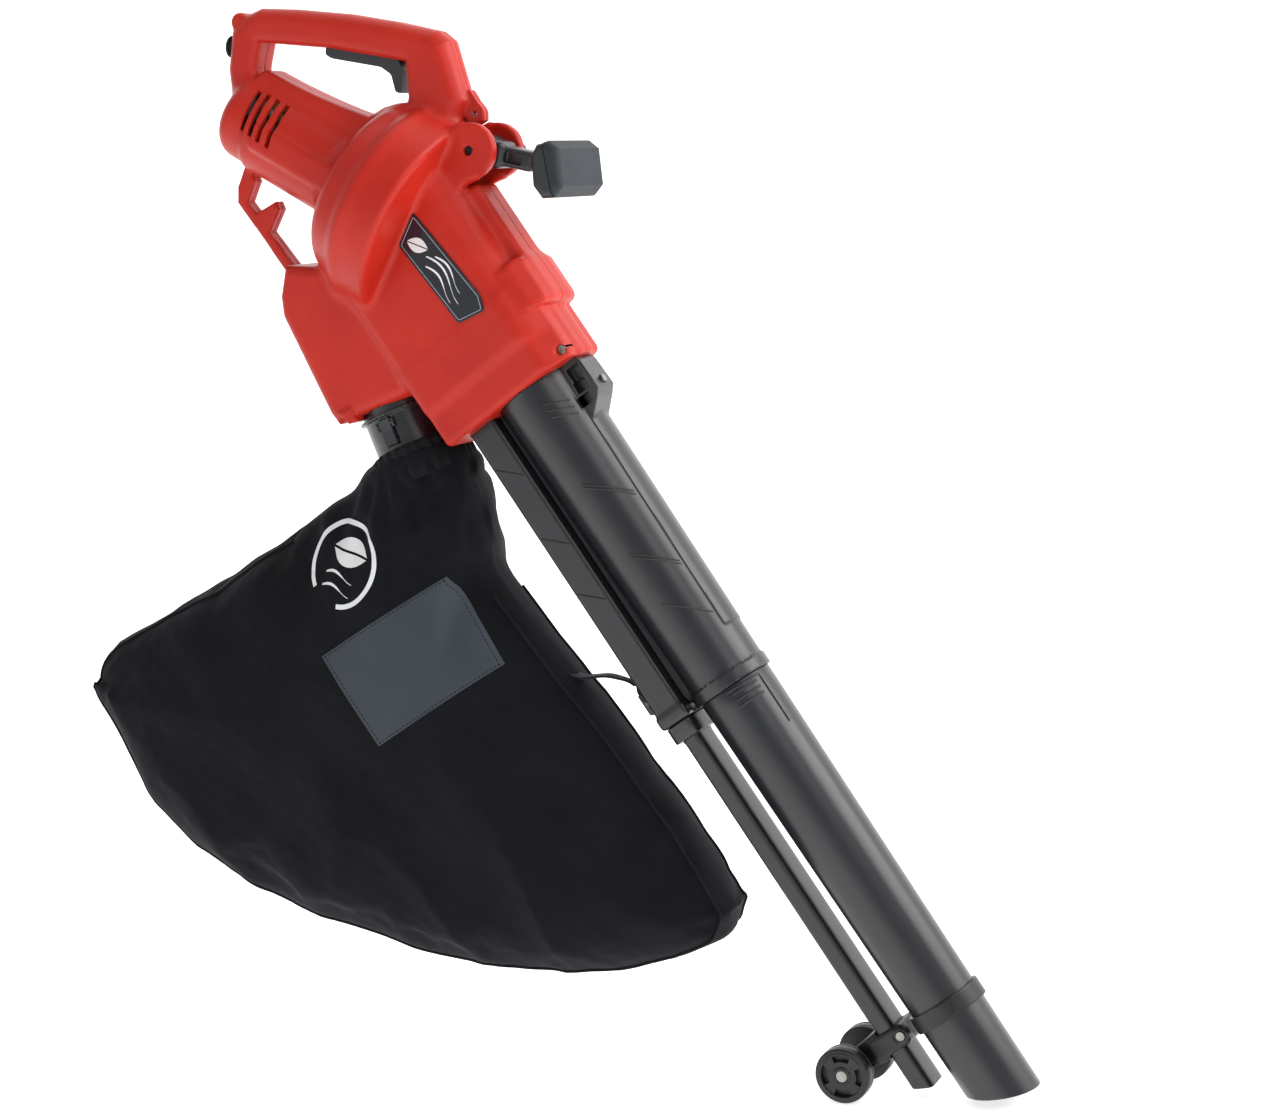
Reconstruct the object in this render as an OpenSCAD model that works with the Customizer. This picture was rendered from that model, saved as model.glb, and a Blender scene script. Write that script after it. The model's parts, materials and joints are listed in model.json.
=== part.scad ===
// Electric leaf blower and vacuum: two-part suction tube with a blow tube
// under it, motor housing with a loop handle, tilting front grip, ground
// wheels and a catch bag.
//
// Everything is drawn in a tool frame and leaned over at the end: X runs down
// along the tubes, Z points to the front of the tool, Y is its width. The
// origin is the centre of the strap eye.

/* [Stance] */
// Angle of the tubes below level, in degrees
lean = 58; // [50:1:66]

/* [Tubes] */
// Depth of the suction tube's axis behind the strap eye
axis_drop = 100; // [96:1:104]
// Outside radius of the upper suction tube where it enters the housing
upper_r = 40; // [33:0.5:42]
// Outside radius of the upper suction tube at the joint
joint_r = 36; // [32:0.5:38]
// Outside radius of the lower suction tube at its mouth
tip_r = 30.5; // [25:0.5:34]
// Wall of the moulded tubes
tube_wall = 2.2; // [1.8:0.1:3]
// Visible length of the upper tube
upper_len = 320; // [260:5:390]
// Visible length of the lower tube
lower_len = 438; // [350:5:530]
// How far the tube goes up into the housing
tube_insert = 80; // [60:2:90]
// How far the lower tubes plug into the upper ones
plug_len = 44; // [34:1:54]
// Outside width of the blow channel under the upper tube
channel_w = 48; // [40:1:52]
// Outside thickness of the blow channel under the upper tube
channel_t = 30; // [26:1:32]
// Outside width of the lower blow tube
blow_w = 34; // [30:1:36]
// Outside thickness of the lower blow tube
blow_t = 19; // [17:0.5:21]

/* [Housing] */
// Wall of the housing shells
shell_wall = 3; // [2.4:0.2:3.4]
// Where the housing's mouth is, down the tube from the strap eye
mouth_at = 232; // [222:1:250]
// Half the width of the throat
throat_half = 48; // [46:1:56]
// Outside radius of the fan volute
volute_r = 97; // [93:1:102]
// Outside depth of the fan volute along the motor's axis
volute_depth = 78; // [72:1:84]
// Outside radius of the motor barrel
barrel_r = 43; // [41:0.5:50]
// Length of the barrel behind the volute's middle
barrel_len = 186; // [180:2:220]
// Angle between the motor's axis and the tubes
motor_tilt = 26; // [24:1:28]
// Width of the loop handle
handle_w = 38; // [32:1:42]
// Thickness of the bar that the hand closes round
grip_t = 33; // [30:1:36]

/* [Motor] */
// Radius of the rotor's shaft
shaft_r = 4; // [3.5:0.25:5]
// Outside radius of the ball bearings
bearing_r = 11; // [10:0.5:13]
// Outside radius of the stator pack
stator_r = 34; // [30:1:36]
// Outside radius of the armature
armature_r = 20; // [18:0.5:22]
// Radius of the impeller
impeller_r = 76; // [64:1:84]
// Number of impeller blades
blades = 10; // [8:1:14]

/* [Front grip] */
// Radius of the clevis discs
clevis_r = 25; // [22:1:28]
// Outside distance across the clevis discs
clevis_w = 64; // [56:1:72]
// Radius of the pivot bolt
bolt_r = 4; // [3:0.25:5]
// Length of the bar held by the second hand
front_bar_w = 92; // [80:1:110]
// Distance from the pivot to the middle of that bar
front_reach = 84; // [80:1:96]

/* [Wheels] */
// Radius of the ground wheels
wheel_r = 25; // [21:0.5:30]
// Width of each wheel
wheel_w = 18; // [15:0.5:22]
// Distance between the wheels' inner faces
wheel_gap = 44; // [37:1:53]
// Radius of the axle
axle_r = 3; // [2.5:0.25:4]
// Distance from the nozzle's tip back to the axle
axle_back = 100; // [84:2:120]

/* [Bag] */
// Outside radius of the bag adaptor
adaptor_r = 36; // [33:0.5:37]
// Angle of the outlet away from the tubes
outlet_tilt = 13; // [10:1:16]
// Half the thickness of the filled bag
bag_half = 80; // [66:1:96]

/* [Strap eye] */
// Radius of the strap eye's hole
eye_r = 2.8; // [2.3:0.1:3.4]
// Thickness of the strap eye's lug
eye_t = 10; // [8:1:12]

/* [Fits] */
// Gap between pieces that only sit beside each other
clear = 0.3; // [0.25:0.05:0.36]
// Radial gap of a running fit
run = 0.05; // [0.04:0.005:0.06]

/* [Hidden] */
$fn = 64;

red = "#c0301f";
black = "#222427";
grey = "#4a4d52";
steel = "#a9adb2";
copper = "#b06a3a";
cloth = "#1b1c1f";

split = 0.05;           // half the gap between the two shells
joint_at = mouth_at + upper_len;
tip_at = joint_at + lower_len;
tube_top = mouth_at - tube_insert;
channel_drop = axis_drop + 58;
axle_x = tip_at - axle_back;
axle_drop = axis_drop + 106;

fan_x = 14;             // middle of the volute
fan_drop = 116;
half_depth = volute_depth / 2;

grip_angle = 46.7;      // of the loop handle against the tubes
grip_top = 72;
grip_floor = grip_top - grip_t;
open_rear = -211;       // hand opening, along the grip
open_front = -65;

pivot_x = 30;           // front grip's pivot
pivot_drop = 14;
bar_angle = 42;         // of the front grip's arm against the tubes
clevis_t = 10;
arm_w = clevis_w - 2 * clevis_t - 2 * clear;

outlet_x = 163;
outlet_drop = 228;
adaptor_out = 62;       // how far the adaptor stands out
chamber_half = 42;
flap_x = 118;           // the mode flap's shaft
flap_drop = 206;

trigger_x = -153;       // the trigger's pin, along the grip and up from its axis
trigger_z = 47;
gland_x = -250;         // the cord gland
gland_z = 34;
gland_r = 8;
pin_r = 1.5;            // the trigger's pin
pin_half = handle_w / 2 - shell_wall - 1;

screw_r = 2;
screw_head_r = 4;

screw_z = -channel_drop + 18.6;  // the joint screw, between the two channels

hook_eye_r = 4;         // the bag hook's eye on the blow channel
hook_eye_x = joint_at - 31;
hook_z = -channel_drop - 22;
hook_wire = 1.8;
hook_ring = 8;
hook_x = hook_eye_x - hook_ring - hook_eye_r + hook_wire + clear + 0.6;

// ---- shapes -------------------------------------------------------------

function unit(v) = v / norm(v);
function left(v) = [-v[1], v[0]];

// An anticlockwise outline with every side moved in by d.
function inset(p, d) = [for (i = [0:len(p) - 1])
    let (e = unit(p[i] - p[(i + len(p) - 1) % len(p)]),
         f = unit(p[(i + 1) % len(p)] - p[i]))
    p[i] + d * (left(e) + left(f)) / (1 + left(e) * left(f))];

// An outline with each corner eased over the length t of its sides.
function eased(p, t, steps = 4) = [for (i = [0:len(p) - 1])
    let (e = unit(p[i] - p[(i + len(p) - 1) % len(p)]),
         f = unit(p[(i + 1) % len(p)] - p[i]))
    for (k = [0:steps]) let (s = k / steps)
    (1 - s) * (1 - s) * (p[i] - t * e) + 2 * s * (1 - s) * p[i] + s * s * (p[i] + t * f)];

// A rectangle of half sizes a and b about the height c.
function rect(a, b, c = 0) = [[-a, c - b], [a, c - b], [a, c + b], [-a, c + b]];

module tool() { rotate([0, lean, 0]) children(); }
module at_grip() { rotate([0, -grip_angle, 0]) children(); }
module at_fan() { translate([fan_x, 0, -fan_drop]) rotate([0, -motor_tilt, 0]) children(); }
module at_axis() { translate([0, 0, -axis_drop]) children(); }
module at_pivot() { translate([pivot_x, 0, -pivot_drop]) children(); }
module at_flap() { translate([flap_x, 0, -flap_drop]) children(); }
module at_trigger() { at_grip() translate([trigger_x, 0, trigger_z]) children(); }
module at_gland() { at_grip() translate([gland_x, 0, gland_z]) children(); }
module at_outlet() { translate([outlet_x, 0, -outlet_drop]) rotate([0, outlet_tilt, 0]) children(); }

module rod_x(r, x0, x1) { translate([x0, 0, 0]) rotate([0, 90, 0]) cylinder(r = r, h = x1 - x0); }
module cone_x(r0, r1, x0, x1) {
    translate([x0, 0, 0]) rotate([0, 90, 0]) cylinder(r1 = r0, r2 = r1, h = x1 - x0);
}
module rod_y(r, y0, y1) { translate([0, y1, 0]) rotate([90, 0, 0]) cylinder(r = r, h = y1 - y0); }
module rod_z(r, z0, z1) { translate([0, 0, z0]) cylinder(r = r, h = z1 - z0); }
module ring_x(r_in, r_out, x0, x1) {
    difference() { rod_x(r_out, x0, x1); rod_x(r_in, x0 - 1, x1 + 1); }
}
// An outline in X and Z, given a width in Y.
module side(p, y0, y1) { translate([0, y1, 0]) rotate([90, 0, 0]) linear_extrude(y1 - y0) polygon(p); }
// An outline in Y and Z, given a length in X.
module bar(p, x0, x1) { translate([x0, 0, 0]) rotate([90, 0, 90]) linear_extrude(x1 - x0) polygon(p); }
module box(x0, x1, y0, y1, z0, z1) {
    translate([x0, y0, z0]) cube([x1 - x0, y1 - y0, z1 - z0]);
}

// ---- housing ------------------------------------------------------------

handle_outline = [[-254, -22], [-200, -34], [-100, -56], [-22, -40], [-6, 11], [-31, 62],
    [-42, grip_top], [-230, grip_top], [-256, 50], [-259, 13]];
opening_outline = [[open_rear, 8], [-104, -12], [-88, -3], [open_front + 2, 3],
    [open_front - 5, grip_floor], [open_rear + 4, grip_floor]];
throat_section = [[-throat_half + 12, -186], [throat_half - 12, -186], [throat_half, -168],
    [throat_half, -66], [30, -38], [-30, -38], [-throat_half, -66], [-throat_half, -168]];
chamber_outline = [[20, -250], [36, -259], [138, -273], [151, -271], [172, -184],
    [160, -150], [60, -150], [4, -192], [-6, -226], [8, -236]];
hook_outline = [[-112, -214], [-97, -242], [-86, -251], [6, -247], [14, -234], [-44, -239],
    [-54, -216], [-62, -214], [-66, -240], [-80, -241], [-90, -222]];

module handle_form(d) {
    at_grip() side(inset(eased(handle_outline, 6), d), -handle_w / 2 + d, handle_w / 2 - d);
}
module hand_opening(d) {
    at_grip() side(inset(eased(opening_outline, 7), -d), -handle_w, handle_w);
}
module barrel_form(d) { at_fan() rod_x(barrel_r - d, -barrel_len + d, -half_depth + d + 1); }
module volute_form(d) { at_fan() rod_x(volute_r - d, -half_depth + d, half_depth - d); }
module throat_form(d) {
    bar(inset(eased(throat_section, 8), d), 26 + d, d > 0 ? mouth_at + 1 : mouth_at);
}
module chamber_form(d) {
    side(inset(chamber_outline, d), -chamber_half + d, chamber_half - d);
}

module suction_sleeve(r, x0) { at_axis() rod_x(r, x0, mouth_at); }
module blow_sleeve(grow, x0, x1) {
    bar(eased(rect(channel_w / 2 + grow, channel_t / 2 + grow, -channel_drop), 5), x0, x1);
}

// Screw bosses of the two shells: place, half length and which side the head is on.
bosses = [
    [[-190.5, -143.5], handle_w / 2, 1],
    [[-50, -8.5], handle_w / 2, 1],
    [[160, -46], 33, 1],
    [[mouth_at - 9, -46], 33, -1],
    [[38, -249], chamber_half, 1],
    [[128, -262], chamber_half, 1],
    [[-100, -230], 9, 1]];
boss_r = 5.5;

module solid_bosses() {
    for (b = bosses) translate([b[0][0], 0, b[0][1]]) rod_y(boss_r, -b[1], b[1]);
}
module screw_holes() {
    for (b = bosses) translate([b[0][0], 0, b[0][1]]) {
        rod_y(screw_r + run, -b[1] + 4, b[1] - 4);
        if (b[2] > 0) rod_y(screw_head_r + clear, b[1] - 5, b[1] + 30);
        else rod_y(screw_head_r + clear, -b[1] - 30, -b[1] + 5);
    }
}

// The cheeks and discs that carry the front grip.
module clevis() {
    for (s = [-1, 1]) {
        y0 = s > 0 ? clevis_w / 2 - clevis_t : -clevis_w / 2;
        at_pivot() rod_y(clevis_r, y0, y0 + clevis_t);
        side([[-2, -60], [50, -60], [54, -24], [6, -8]], y0, y0 + clevis_t);
    }
}
module eye_lug(d) {
    rod_y(8.5 + d, -eye_t / 2 - d, eye_t / 2 + d);
    side([[-16 - d, -6 - d], [8 + d, -10 - d], [6 + d, 5 + d], [-13 - d, 5 + d]],
        -eye_t / 2 - d, eye_t / 2 + d);
}

vent_count = 4;
module vents() {
    at_fan() for (s = [-1, 1], i = [0:vent_count - 1])
        translate([-168 + 12 * i, 0, 0]) rotate([s > 0 ? 200 : -20, 0, 0])
            rotate([0, 90, 0]) rotate([0, 0, 50])
                rotate_extrude(angle = 75) translate([barrel_r - shell_wall - 1, 0]) square([shell_wall + 3, 5]);
}

module housing_outside() {
    difference() {
        union() {
            handle_form(0);
            barrel_form(0);
            volute_form(0);
            throat_form(0);
            chamber_form(0);
            side(hook_outline, -9, 9);
        }
        hand_opening(0);
    }
    clevis();
}
module housing_cavities() {
    difference() {
        union() {
            difference() { handle_form(shell_wall); hand_opening(shell_wall); }
            barrel_form(shell_wall);
        }
        volute_form(0);
    }
    volute_form(shell_wall);
    difference() { throat_form(shell_wall); volute_form(0); }
    chamber_form(shell_wall);
}
// What stands inside the shells: ducts, motor ribs, switch ribs, screw bosses.
module housing_inside() {
    difference() {
        union() {
            suction_sleeve(upper_r + 3, 40);
            blow_sleeve(3, 150, mouth_at);
        }
        volute_form(1);
    }
    at_fan() {
        for (x = [-120, -88]) ring_x(stator_r + clear, barrel_r - 1, x, x + 4);
        for (x = [-171, -45 - 4]) ring_x(barrel_r - shell_wall - 3, barrel_r - 1, x, x + 3);
    }
    at_grip() {
        for (s = [-1, 1]) {
            y0 = s > 0 ? 9 + clear : -handle_w / 2 + 1;
            box(-128, -102, y0, y0 + handle_w / 2 - 10 - clear, 52, 64);
        }
    }
    at_trigger() for (s = [-1, 1]) rod_y(4, s > 0 ? 12 : -handle_w / 2 + 1, s > 0 ? handle_w / 2 - 1 : -12);
    at_flap() for (s = [-1, 1]) rod_y(10, s > 0 ? 38 : -41, s > 0 ? 41 : -38);
    solid_bosses();
    at_outlet() ring_x(adaptor_r + clear, adaptor_r + 3, -18, -1);
}
module housing_cuts() {
    at_fan() {
        rod_x(volute_r - shell_wall, -half_depth + shell_wall, half_depth - shell_wall);
        rod_x(upper_r - 3, half_depth - shell_wall - 1, half_depth + 14);
        rod_x(20, -half_depth - 2, -half_depth + shell_wall + 1);
    }
    at_axis() rod_x(upper_r - 3, 62, mouth_at);
    at_axis() rod_x(upper_r + clear, tube_top - 1, mouth_at + 1);
    blow_sleeve(clear, 188, mouth_at + 1);
    blow_sleeve(-tube_wall, 140, mouth_at);
    at_outlet() rod_x(adaptor_r + clear, -30, 30);
    at_pivot() rod_y(bolt_r + run, -clevis_w / 2 + 2, clevis_w);
    at_pivot() rod_y(2.5, -clevis_w, clevis_w);
    at_pivot() rod_y(17, -arm_w / 2 - clear, arm_w / 2 + clear);
    screw_holes();
    vents();
    at_grip() box(-161, open_front + 6, -7.5 - clear, 7.5 + clear, grip_floor - 12, grip_floor + 8);
    at_trigger() rod_y(pin_r + run, -pin_half - clear, pin_half + clear);
    at_gland() rod_x(gland_r + clear, -20, 12);
    at_flap() rod_y(4 + run, -38.5, 60);
    at_outlet() for (s = [-1, 1]) box(-12, 3, -7, 7, adaptor_r - 2, adaptor_r + 6);
}
module housing() {
    difference() {
        union() {
            difference() { housing_outside(); housing_cavities(); }
            housing_inside();
        }
        housing_cuts();
    }
}
module half_space(s) { box(-400, 400, s > 0 ? split : -200, s > 0 ? 200 : -split, -400, 200); }

module housing_near() color(red) tool() {
    difference() {
        union() {
            intersection() { housing(); half_space(-1); }
            eye_lug(0);
        }
        rod_y(eye_r, -eye_t, eye_t);
    }
}
module housing_far() color(red) tool() {
    difference() {
        intersection() { housing(); half_space(1); }
        eye_lug(clear);
    }
}
module housing_screws() color(steel) tool() {
    for (b = bosses) translate([b[0][0], 0, b[0][1]]) mirror([0, b[2] > 0 ? 0 : 1, 0]) difference() {
        union() {
            rod_y(screw_r, -b[1] + 5, b[1] - 4);
            rod_y(screw_head_r, b[1] - 5 + clear / 3, b[1] - 2.5);
        }
        translate([0, b[1] - 3.5, 0]) rotate([-90, 0, 0]) cylinder(r = 1.6, h = 4, $fn = 6);
    }
}
module label_plate() color("#1d2530") tool() {
    side(eased([[50, -82], [60, -113], [150, -106], [156, -79], [142, -74]], 3),
        -throat_half - 1.7, -throat_half - 0.1);
}
module cord_gland() color(black) tool() at_gland() difference() {
    union() {
        rod_x(gland_r, -13, 10);
        rod_x(gland_r + 2, -13, -11);
    }
    rod_x(3.8, -14, 11);
}

// ---- trigger --------------------------------------------------------------

module switch_body() color(black) tool() at_grip() {
    box(-127, -103, -9, 9, 52, 64);
    box(-118, -112, -3, 3, 49, 53);
}
trigger_outline = [[-157, 37], [-150, 34], [-98, 31.5], [-87, 26], [-81, 11], [-75, 10], [-76, 32],
    [-82, 41], [-96, 42.5], [-146, 46], [-149, 51], [-157, 51]];
module trigger() color("#2b2d31") tool() difference() {
    at_grip() side(eased(trigger_outline, 2.5), -7.5, 7.5);
    at_trigger() rod_y(pin_r + run, -10, 10);
}
module trigger_pin() color(steel) tool() at_trigger() rod_y(pin_r, -pin_half, pin_half);
module trigger_spring() color(steel) tool() at_trigger() difference() {
    rod_y(3, 8, 11.5);
    rod_y(pin_r + run, 7, 12);
}

// ---- motor ------------------------------------------------------------------

module motor_plate() color("#8f9398") tool() at_fan() difference() {
    union() {
        rod_x(barrel_r - shell_wall - clear, -44, -half_depth - clear);
        rod_x(15, -50, -half_depth + 1);
    }
    rod_x(bearing_r + run, -47, -half_depth + 2);
    rod_x(shaft_r + 2, -51, -40);
    for (i = [0:5]) rotate([60 * i, 0, 0]) translate([0, 0, 28]) rod_x(8, -45, -38);
}
module motor_end_bracket() color("#8f9398") tool() at_fan() difference() {
    union() {
        rod_x(barrel_r - shell_wall - clear, -168 + clear, -163);
        rod_x(15, -172, -160);
    }
    rod_x(bearing_r + run, -169, -159);
    rod_x(shaft_r + 2, -173, -165);
    for (i = [0:5]) rotate([60 * i + 30, 0, 0]) translate([0, 0, 28]) rod_x(7, -173, -160);
}
module bearing(x0) {
    ring_x(shaft_r + run, bearing_r, x0, x0 + 7);
}
module front_bearing() color(steel) tool() at_fan() bearing(-46.5);
module rear_bearing() color(steel) tool() at_fan() bearing(-168.5);

module pole_gap(r0, r1, x0, x1) {
    for (a = [0, 180]) rotate([a - 36, 0, 0]) translate([x0, 0, 0]) rotate([0, 90, 0])
        rotate_extrude(angle = 72) translate([r0, 0]) square([r1 - r0, x1 - x0]);
}
module stator() color("#7c8086") tool() at_fan() difference() {
    ring_x(armature_r + 0.6, stator_r, -128, -84);
    pole_gap(armature_r + 3, stator_r - 4, -130, -82);
}
module field_coils() color(copper) tool() at_fan()
    pole_gap(armature_r + 3 + clear, stator_r - 4 - clear, -134, -78);
module brush_holders() color("#6d5a3c") tool() at_fan()
    for (a = [0, 180]) rotate([a, 0, 0]) translate([0, 0, 12 + clear]) difference() {
        union() {
            box(-150, -140, -4, 4, 0, 14);
            box(-163 + clear, -138, -5, 5, 6, 18);
        }
        box(-164, -156, -6, 6, 0, 9);
    }

module rotor_shaft() color(steel) tool() at_fan() rod_x(shaft_r, -171, 34);
module armature() color(copper) tool() at_fan() difference() {
    union() {
        rod_x(armature_r, -128, -84);
        rod_x(armature_r - 4, -134, -78);
    }
    rod_x(shaft_r + run / 2, -140, -70);
    for (i = [0:11]) rotate([30 * i, 0, 0]) box(-129, -83, -1, 1, armature_r - 3, armature_r + 1);
}
module commutator() color("#c07b45") tool() at_fan()
    ring_x(shaft_r + run / 2, 12, -152, -137);
module cooling_fan() color(black) tool() at_fan() difference() {
    union() {
        rod_x(9, -70, -54);
        rod_x(32, -56, -54);
        for (i = [0:8]) rotate([40 * i, 0, 0]) box(-68, -55, -0.8, 0.8, 7, 32);
    }
    rod_x(shaft_r + run / 2, -72, -50);
}
module impeller() color(grey) tool() at_fan() difference() {
    union() {
        rod_x(13, -30, 24);
        rod_x(impeller_r, -30, -27);
        for (i = [0:blades - 1]) rotate([360 / blades * i, 0, 0])
            side([[-28, 10], [22, 10], [14, impeller_r - 1], [-28, impeller_r - 1]], -1.4, 1.4);
    }
    rod_x(shaft_r + run / 2, -34, 30);
}
module impeller_nut() color(steel) tool() at_fan() difference() {
    translate([24 + clear / 3, 0, 0]) rotate([0, 90, 0]) cylinder(r = 8, h = 6.5, $fn = 6);
    rod_x(shaft_r + run / 2, 20, 40);
}
module inlet_ring() color(grey) tool() at_fan()
    ring_x(upper_r + 1, upper_r + 16, half_depth - shell_wall - 4, half_depth - shell_wall - clear);

// ---- mode flap -----------------------------------------------------------------

module mode_flap() color(grey) tool() at_flap() difference() {
    union() {
        rod_y(6.5, -37, 37);
        side([[-2, 3], [2, 3], [-4, 47], [-7, 46]], -20.5, 20.5);
    }
    rod_y(4 + run / 2, -40, 40);
}
module flap_shaft() color(steel) tool() at_flap() rod_y(4, -38, chamber_half + 14);
module mode_knob() color(black) tool() at_flap() difference() {
    union() {
        rod_y(17, chamber_half + clear, chamber_half + 12);
        side([[-5, -24], [5, -24], [4, 16], [-4, 16]], chamber_half + 6, chamber_half + 16);
    }
    rod_y(4 + run / 2, chamber_half - 2, chamber_half + 14.1);
}

// ---- front grip ------------------------------------------------------------------

bar_section = [[-23, -6], [-14, -13], [12, -15], [24, -8], [25, 3], [16, 13], [-16, 14], [-24, 6]];
module at_bar() { at_pivot() rotate([0, -bar_angle, 0]) translate([front_reach, 0, 0]) rotate([0, 70, 0]) children(); }
module arm_tenon(d) {
    at_pivot() rotate([0, -bar_angle, 0]) box(40, front_reach + 4 + d, -10 - d, 10 + d, -6 - d, 6 + d);
}
module handle_arm() color(grey) tool() difference() {
    union() {
        at_pivot() rod_y(14, -arm_w / 2, arm_w / 2);
        at_pivot() rotate([0, -bar_angle, 0])
            side([[-6, -12], [20, -12], [52, -9], [54, 9], [20, 12], [-6, 12]], -14, 14);
        arm_tenon(0);
    }
    at_pivot() rod_y(bolt_r + run, -60, 60);
}
module handle_grip() color("#33363a") tool() difference() {
    at_bar() side(eased(bar_section, 5), -front_bar_w / 2, front_bar_w / 2);
    arm_tenon(clear);
    at_pivot() rotate([0, -bar_angle, 0]) box(30, 54 + clear, -14 - clear, 14 + clear, -13, 13);
}
module pivot_bolt() color(steel) tool() at_pivot() rod_y(bolt_r, -clevis_w / 2 + 2 + clear, clevis_w / 2 + 18);
module handle_knob() color(black) tool() at_pivot() difference() {
    union() {
        rod_y(15, clevis_w / 2 + clear, clevis_w / 2 + 16);
        for (i = [0:5]) rotate([0, 60 * i, 0]) translate([14, 0, 0])
            rod_y(4, clevis_w / 2 + 4, clevis_w / 2 + 16);
    }
    rod_y(bolt_r + run, clevis_w / 2 - 1, clevis_w / 2 + 19);
}

// ---- tubes -----------------------------------------------------------------------

function lower_r(x) = joint_r - 1 + (tip_r - joint_r + 1) * (x - joint_at) / lower_len;
joint_bore = joint_r - tube_wall;

module upper_tube() color(black) tool() {
    difference() {
        union() {
            at_axis() {
                rod_x(upper_r, tube_top, mouth_at);
                cone_x(upper_r, joint_r, mouth_at, joint_at);
                ring_x(joint_bore + 1, joint_r + 2, joint_at - 12, joint_at);
            }
            bar(eased(rect(channel_w / 2, channel_t / 2, -channel_drop), 5), 190, joint_at);
            bar(rect(12, 10, -channel_drop + 20), mouth_at + 1, joint_at);
            side([[mouth_at + 0.5, -64], [mouth_at + 5, -44], [mouth_at + 34, -42],
                [mouth_at + 56, -64]], -17, 17);
            side([[joint_at - 40, -channel_drop - 12], [joint_at - 42, -channel_drop - 28],
                [joint_at - 20, -channel_drop - 28], [joint_at - 16, -channel_drop - 12]], -3, 3);
        }
        at_axis() {
            cone_x(upper_r - tube_wall, joint_bore, tube_top - 1, joint_at - plug_len - 2);
            rod_x(joint_bore, joint_at - plug_len - 3, joint_at + 1);
        }
        bar(eased(rect(channel_w / 2 - tube_wall, channel_t / 2 - tube_wall, -channel_drop), 4),
            180, joint_at + 1);
        translate([hook_eye_x, 0, hook_z]) rod_y(hook_eye_r, -5, 5);
        translate([joint_at - 6, 0, screw_z]) rod_y(1.5 + run, -30, 30);
        for (s = [-1, 1]) box(mouth_at + 8, mouth_at + 42, s > 0 ? 4 : -14, s > 0 ? 14 : -4, -54, -48);
    }
}
module tube_screw() color(steel) tool() translate([mouth_at + 28, 0, -42]) {
    rod_z(3.5, clear / 3, 2.5);
}
module lower_suction_tube() color(black) tool() difference() {
    at_axis() {
        cone_x(joint_r - 1, tip_r, joint_at + clear, tip_at);
        rod_x(joint_bore - clear, joint_at - plug_len, joint_at + 4);
    }
    at_axis() {
        cone_x(joint_r - 1 - tube_wall, tip_r - tube_wall, joint_at + 3, tip_at + 1);
        rod_x(joint_bore - clear - tube_wall, joint_at - plug_len - 1, joint_at + 4);
    }
    translate([tip_at - 14, 0, -axis_drop]) rotate([0, 23, 0]) box(0, 90, -60, 60, -90, 90);
}
blow_drop = channel_drop;
blow_end = tip_at - 52;
module lower_blow_tube() color(black) tool() difference() {
    union() {
        bar(eased(rect(blow_w / 2, blow_t / 2, -blow_drop), 5), joint_at, blow_end + 10);
        bar(eased(rect(channel_w / 2 - tube_wall - clear, channel_t / 2 - tube_wall - clear,
            -channel_drop), 4), joint_at - plug_len, joint_at);
        bar(eased(rect(channel_w / 2, channel_t / 2, -channel_drop), 5), joint_at + clear, joint_at + 16);
    }
    bar(eased(rect(blow_w / 2 - 2, blow_t / 2 - 2, -blow_drop), 4), joint_at - 90, blow_end + 11);
    translate([blow_end, 0, -blow_drop]) rotate([0, 23, 0]) box(0, 60, -40, 40, -40, 40);
}
module joint_screw() color(steel) tool() translate([joint_at - 6, 0, screw_z]) {
    rod_y(1.5, -13, 12);
    rod_y(2.4, -14.5, -12 - clear / 3);
}

// ---- wheels -----------------------------------------------------------------------

module bracket_solid() {
    ring_r = lower_r(axle_x - 10) + clear;
    at_axis() rod_x(ring_r + 3, axle_x - 10, axle_x + 6);
    bar(eased(rect(blow_w / 2 + 3.5, blow_t / 2 + 13, -blow_drop + 3), 5), axle_x - 12, axle_x + 8);
    side([[axle_x - 16, -blow_drop - 8], [axle_x - 10, -axle_drop - 7], [axle_x + 6, -axle_drop - 9],
        [axle_x + 12, -blow_drop - 8]], -wheel_gap / 2 + 1, wheel_gap / 2 - 1);
}
module wheel_bracket() color(black) tool() difference() {
    bracket_solid();
    at_axis() rod_x(lower_r(axle_x - 10) + clear, axle_x - 30, axle_x + 30);
    bar(eased(rect(blow_w / 2 + clear, blow_t / 2 + clear, -blow_drop), 5), axle_x - 30, axle_x + 30);
    translate([axle_x, 0, -axle_drop]) rod_y(axle_r + run, -40, 40);
    box(axle_x - 20, axle_x + 20, -12, 12, -axle_drop - 20, -blow_drop - blow_t / 2 - 14);
    translate([axle_x - 2, 0, -blow_drop + blow_t / 2 + 4]) rod_y(2 + run, -40, 40);
}
module bracket_screw() color(steel) tool() translate([axle_x - 2, 0, -blow_drop + blow_t / 2 + 4]) {
    rod_y(2, -blow_w / 2 - 5, 14);
    rod_y(4, -blow_w / 2 - 6, -blow_w / 2 - 3.5 - clear / 3);
}
axle_half = wheel_gap / 2 + wheel_w - 3;
module wheel_axle() color(steel) tool() translate([axle_x, 0, -axle_drop]) difference() {
    rod_y(axle_r, -axle_half, axle_half);
    for (s = [-1, 1]) rod_y(1.5, s > 0 ? axle_half - 9 : -axle_half - 1, s > 0 ? axle_half + 1 : -axle_half + 9);
}
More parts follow.
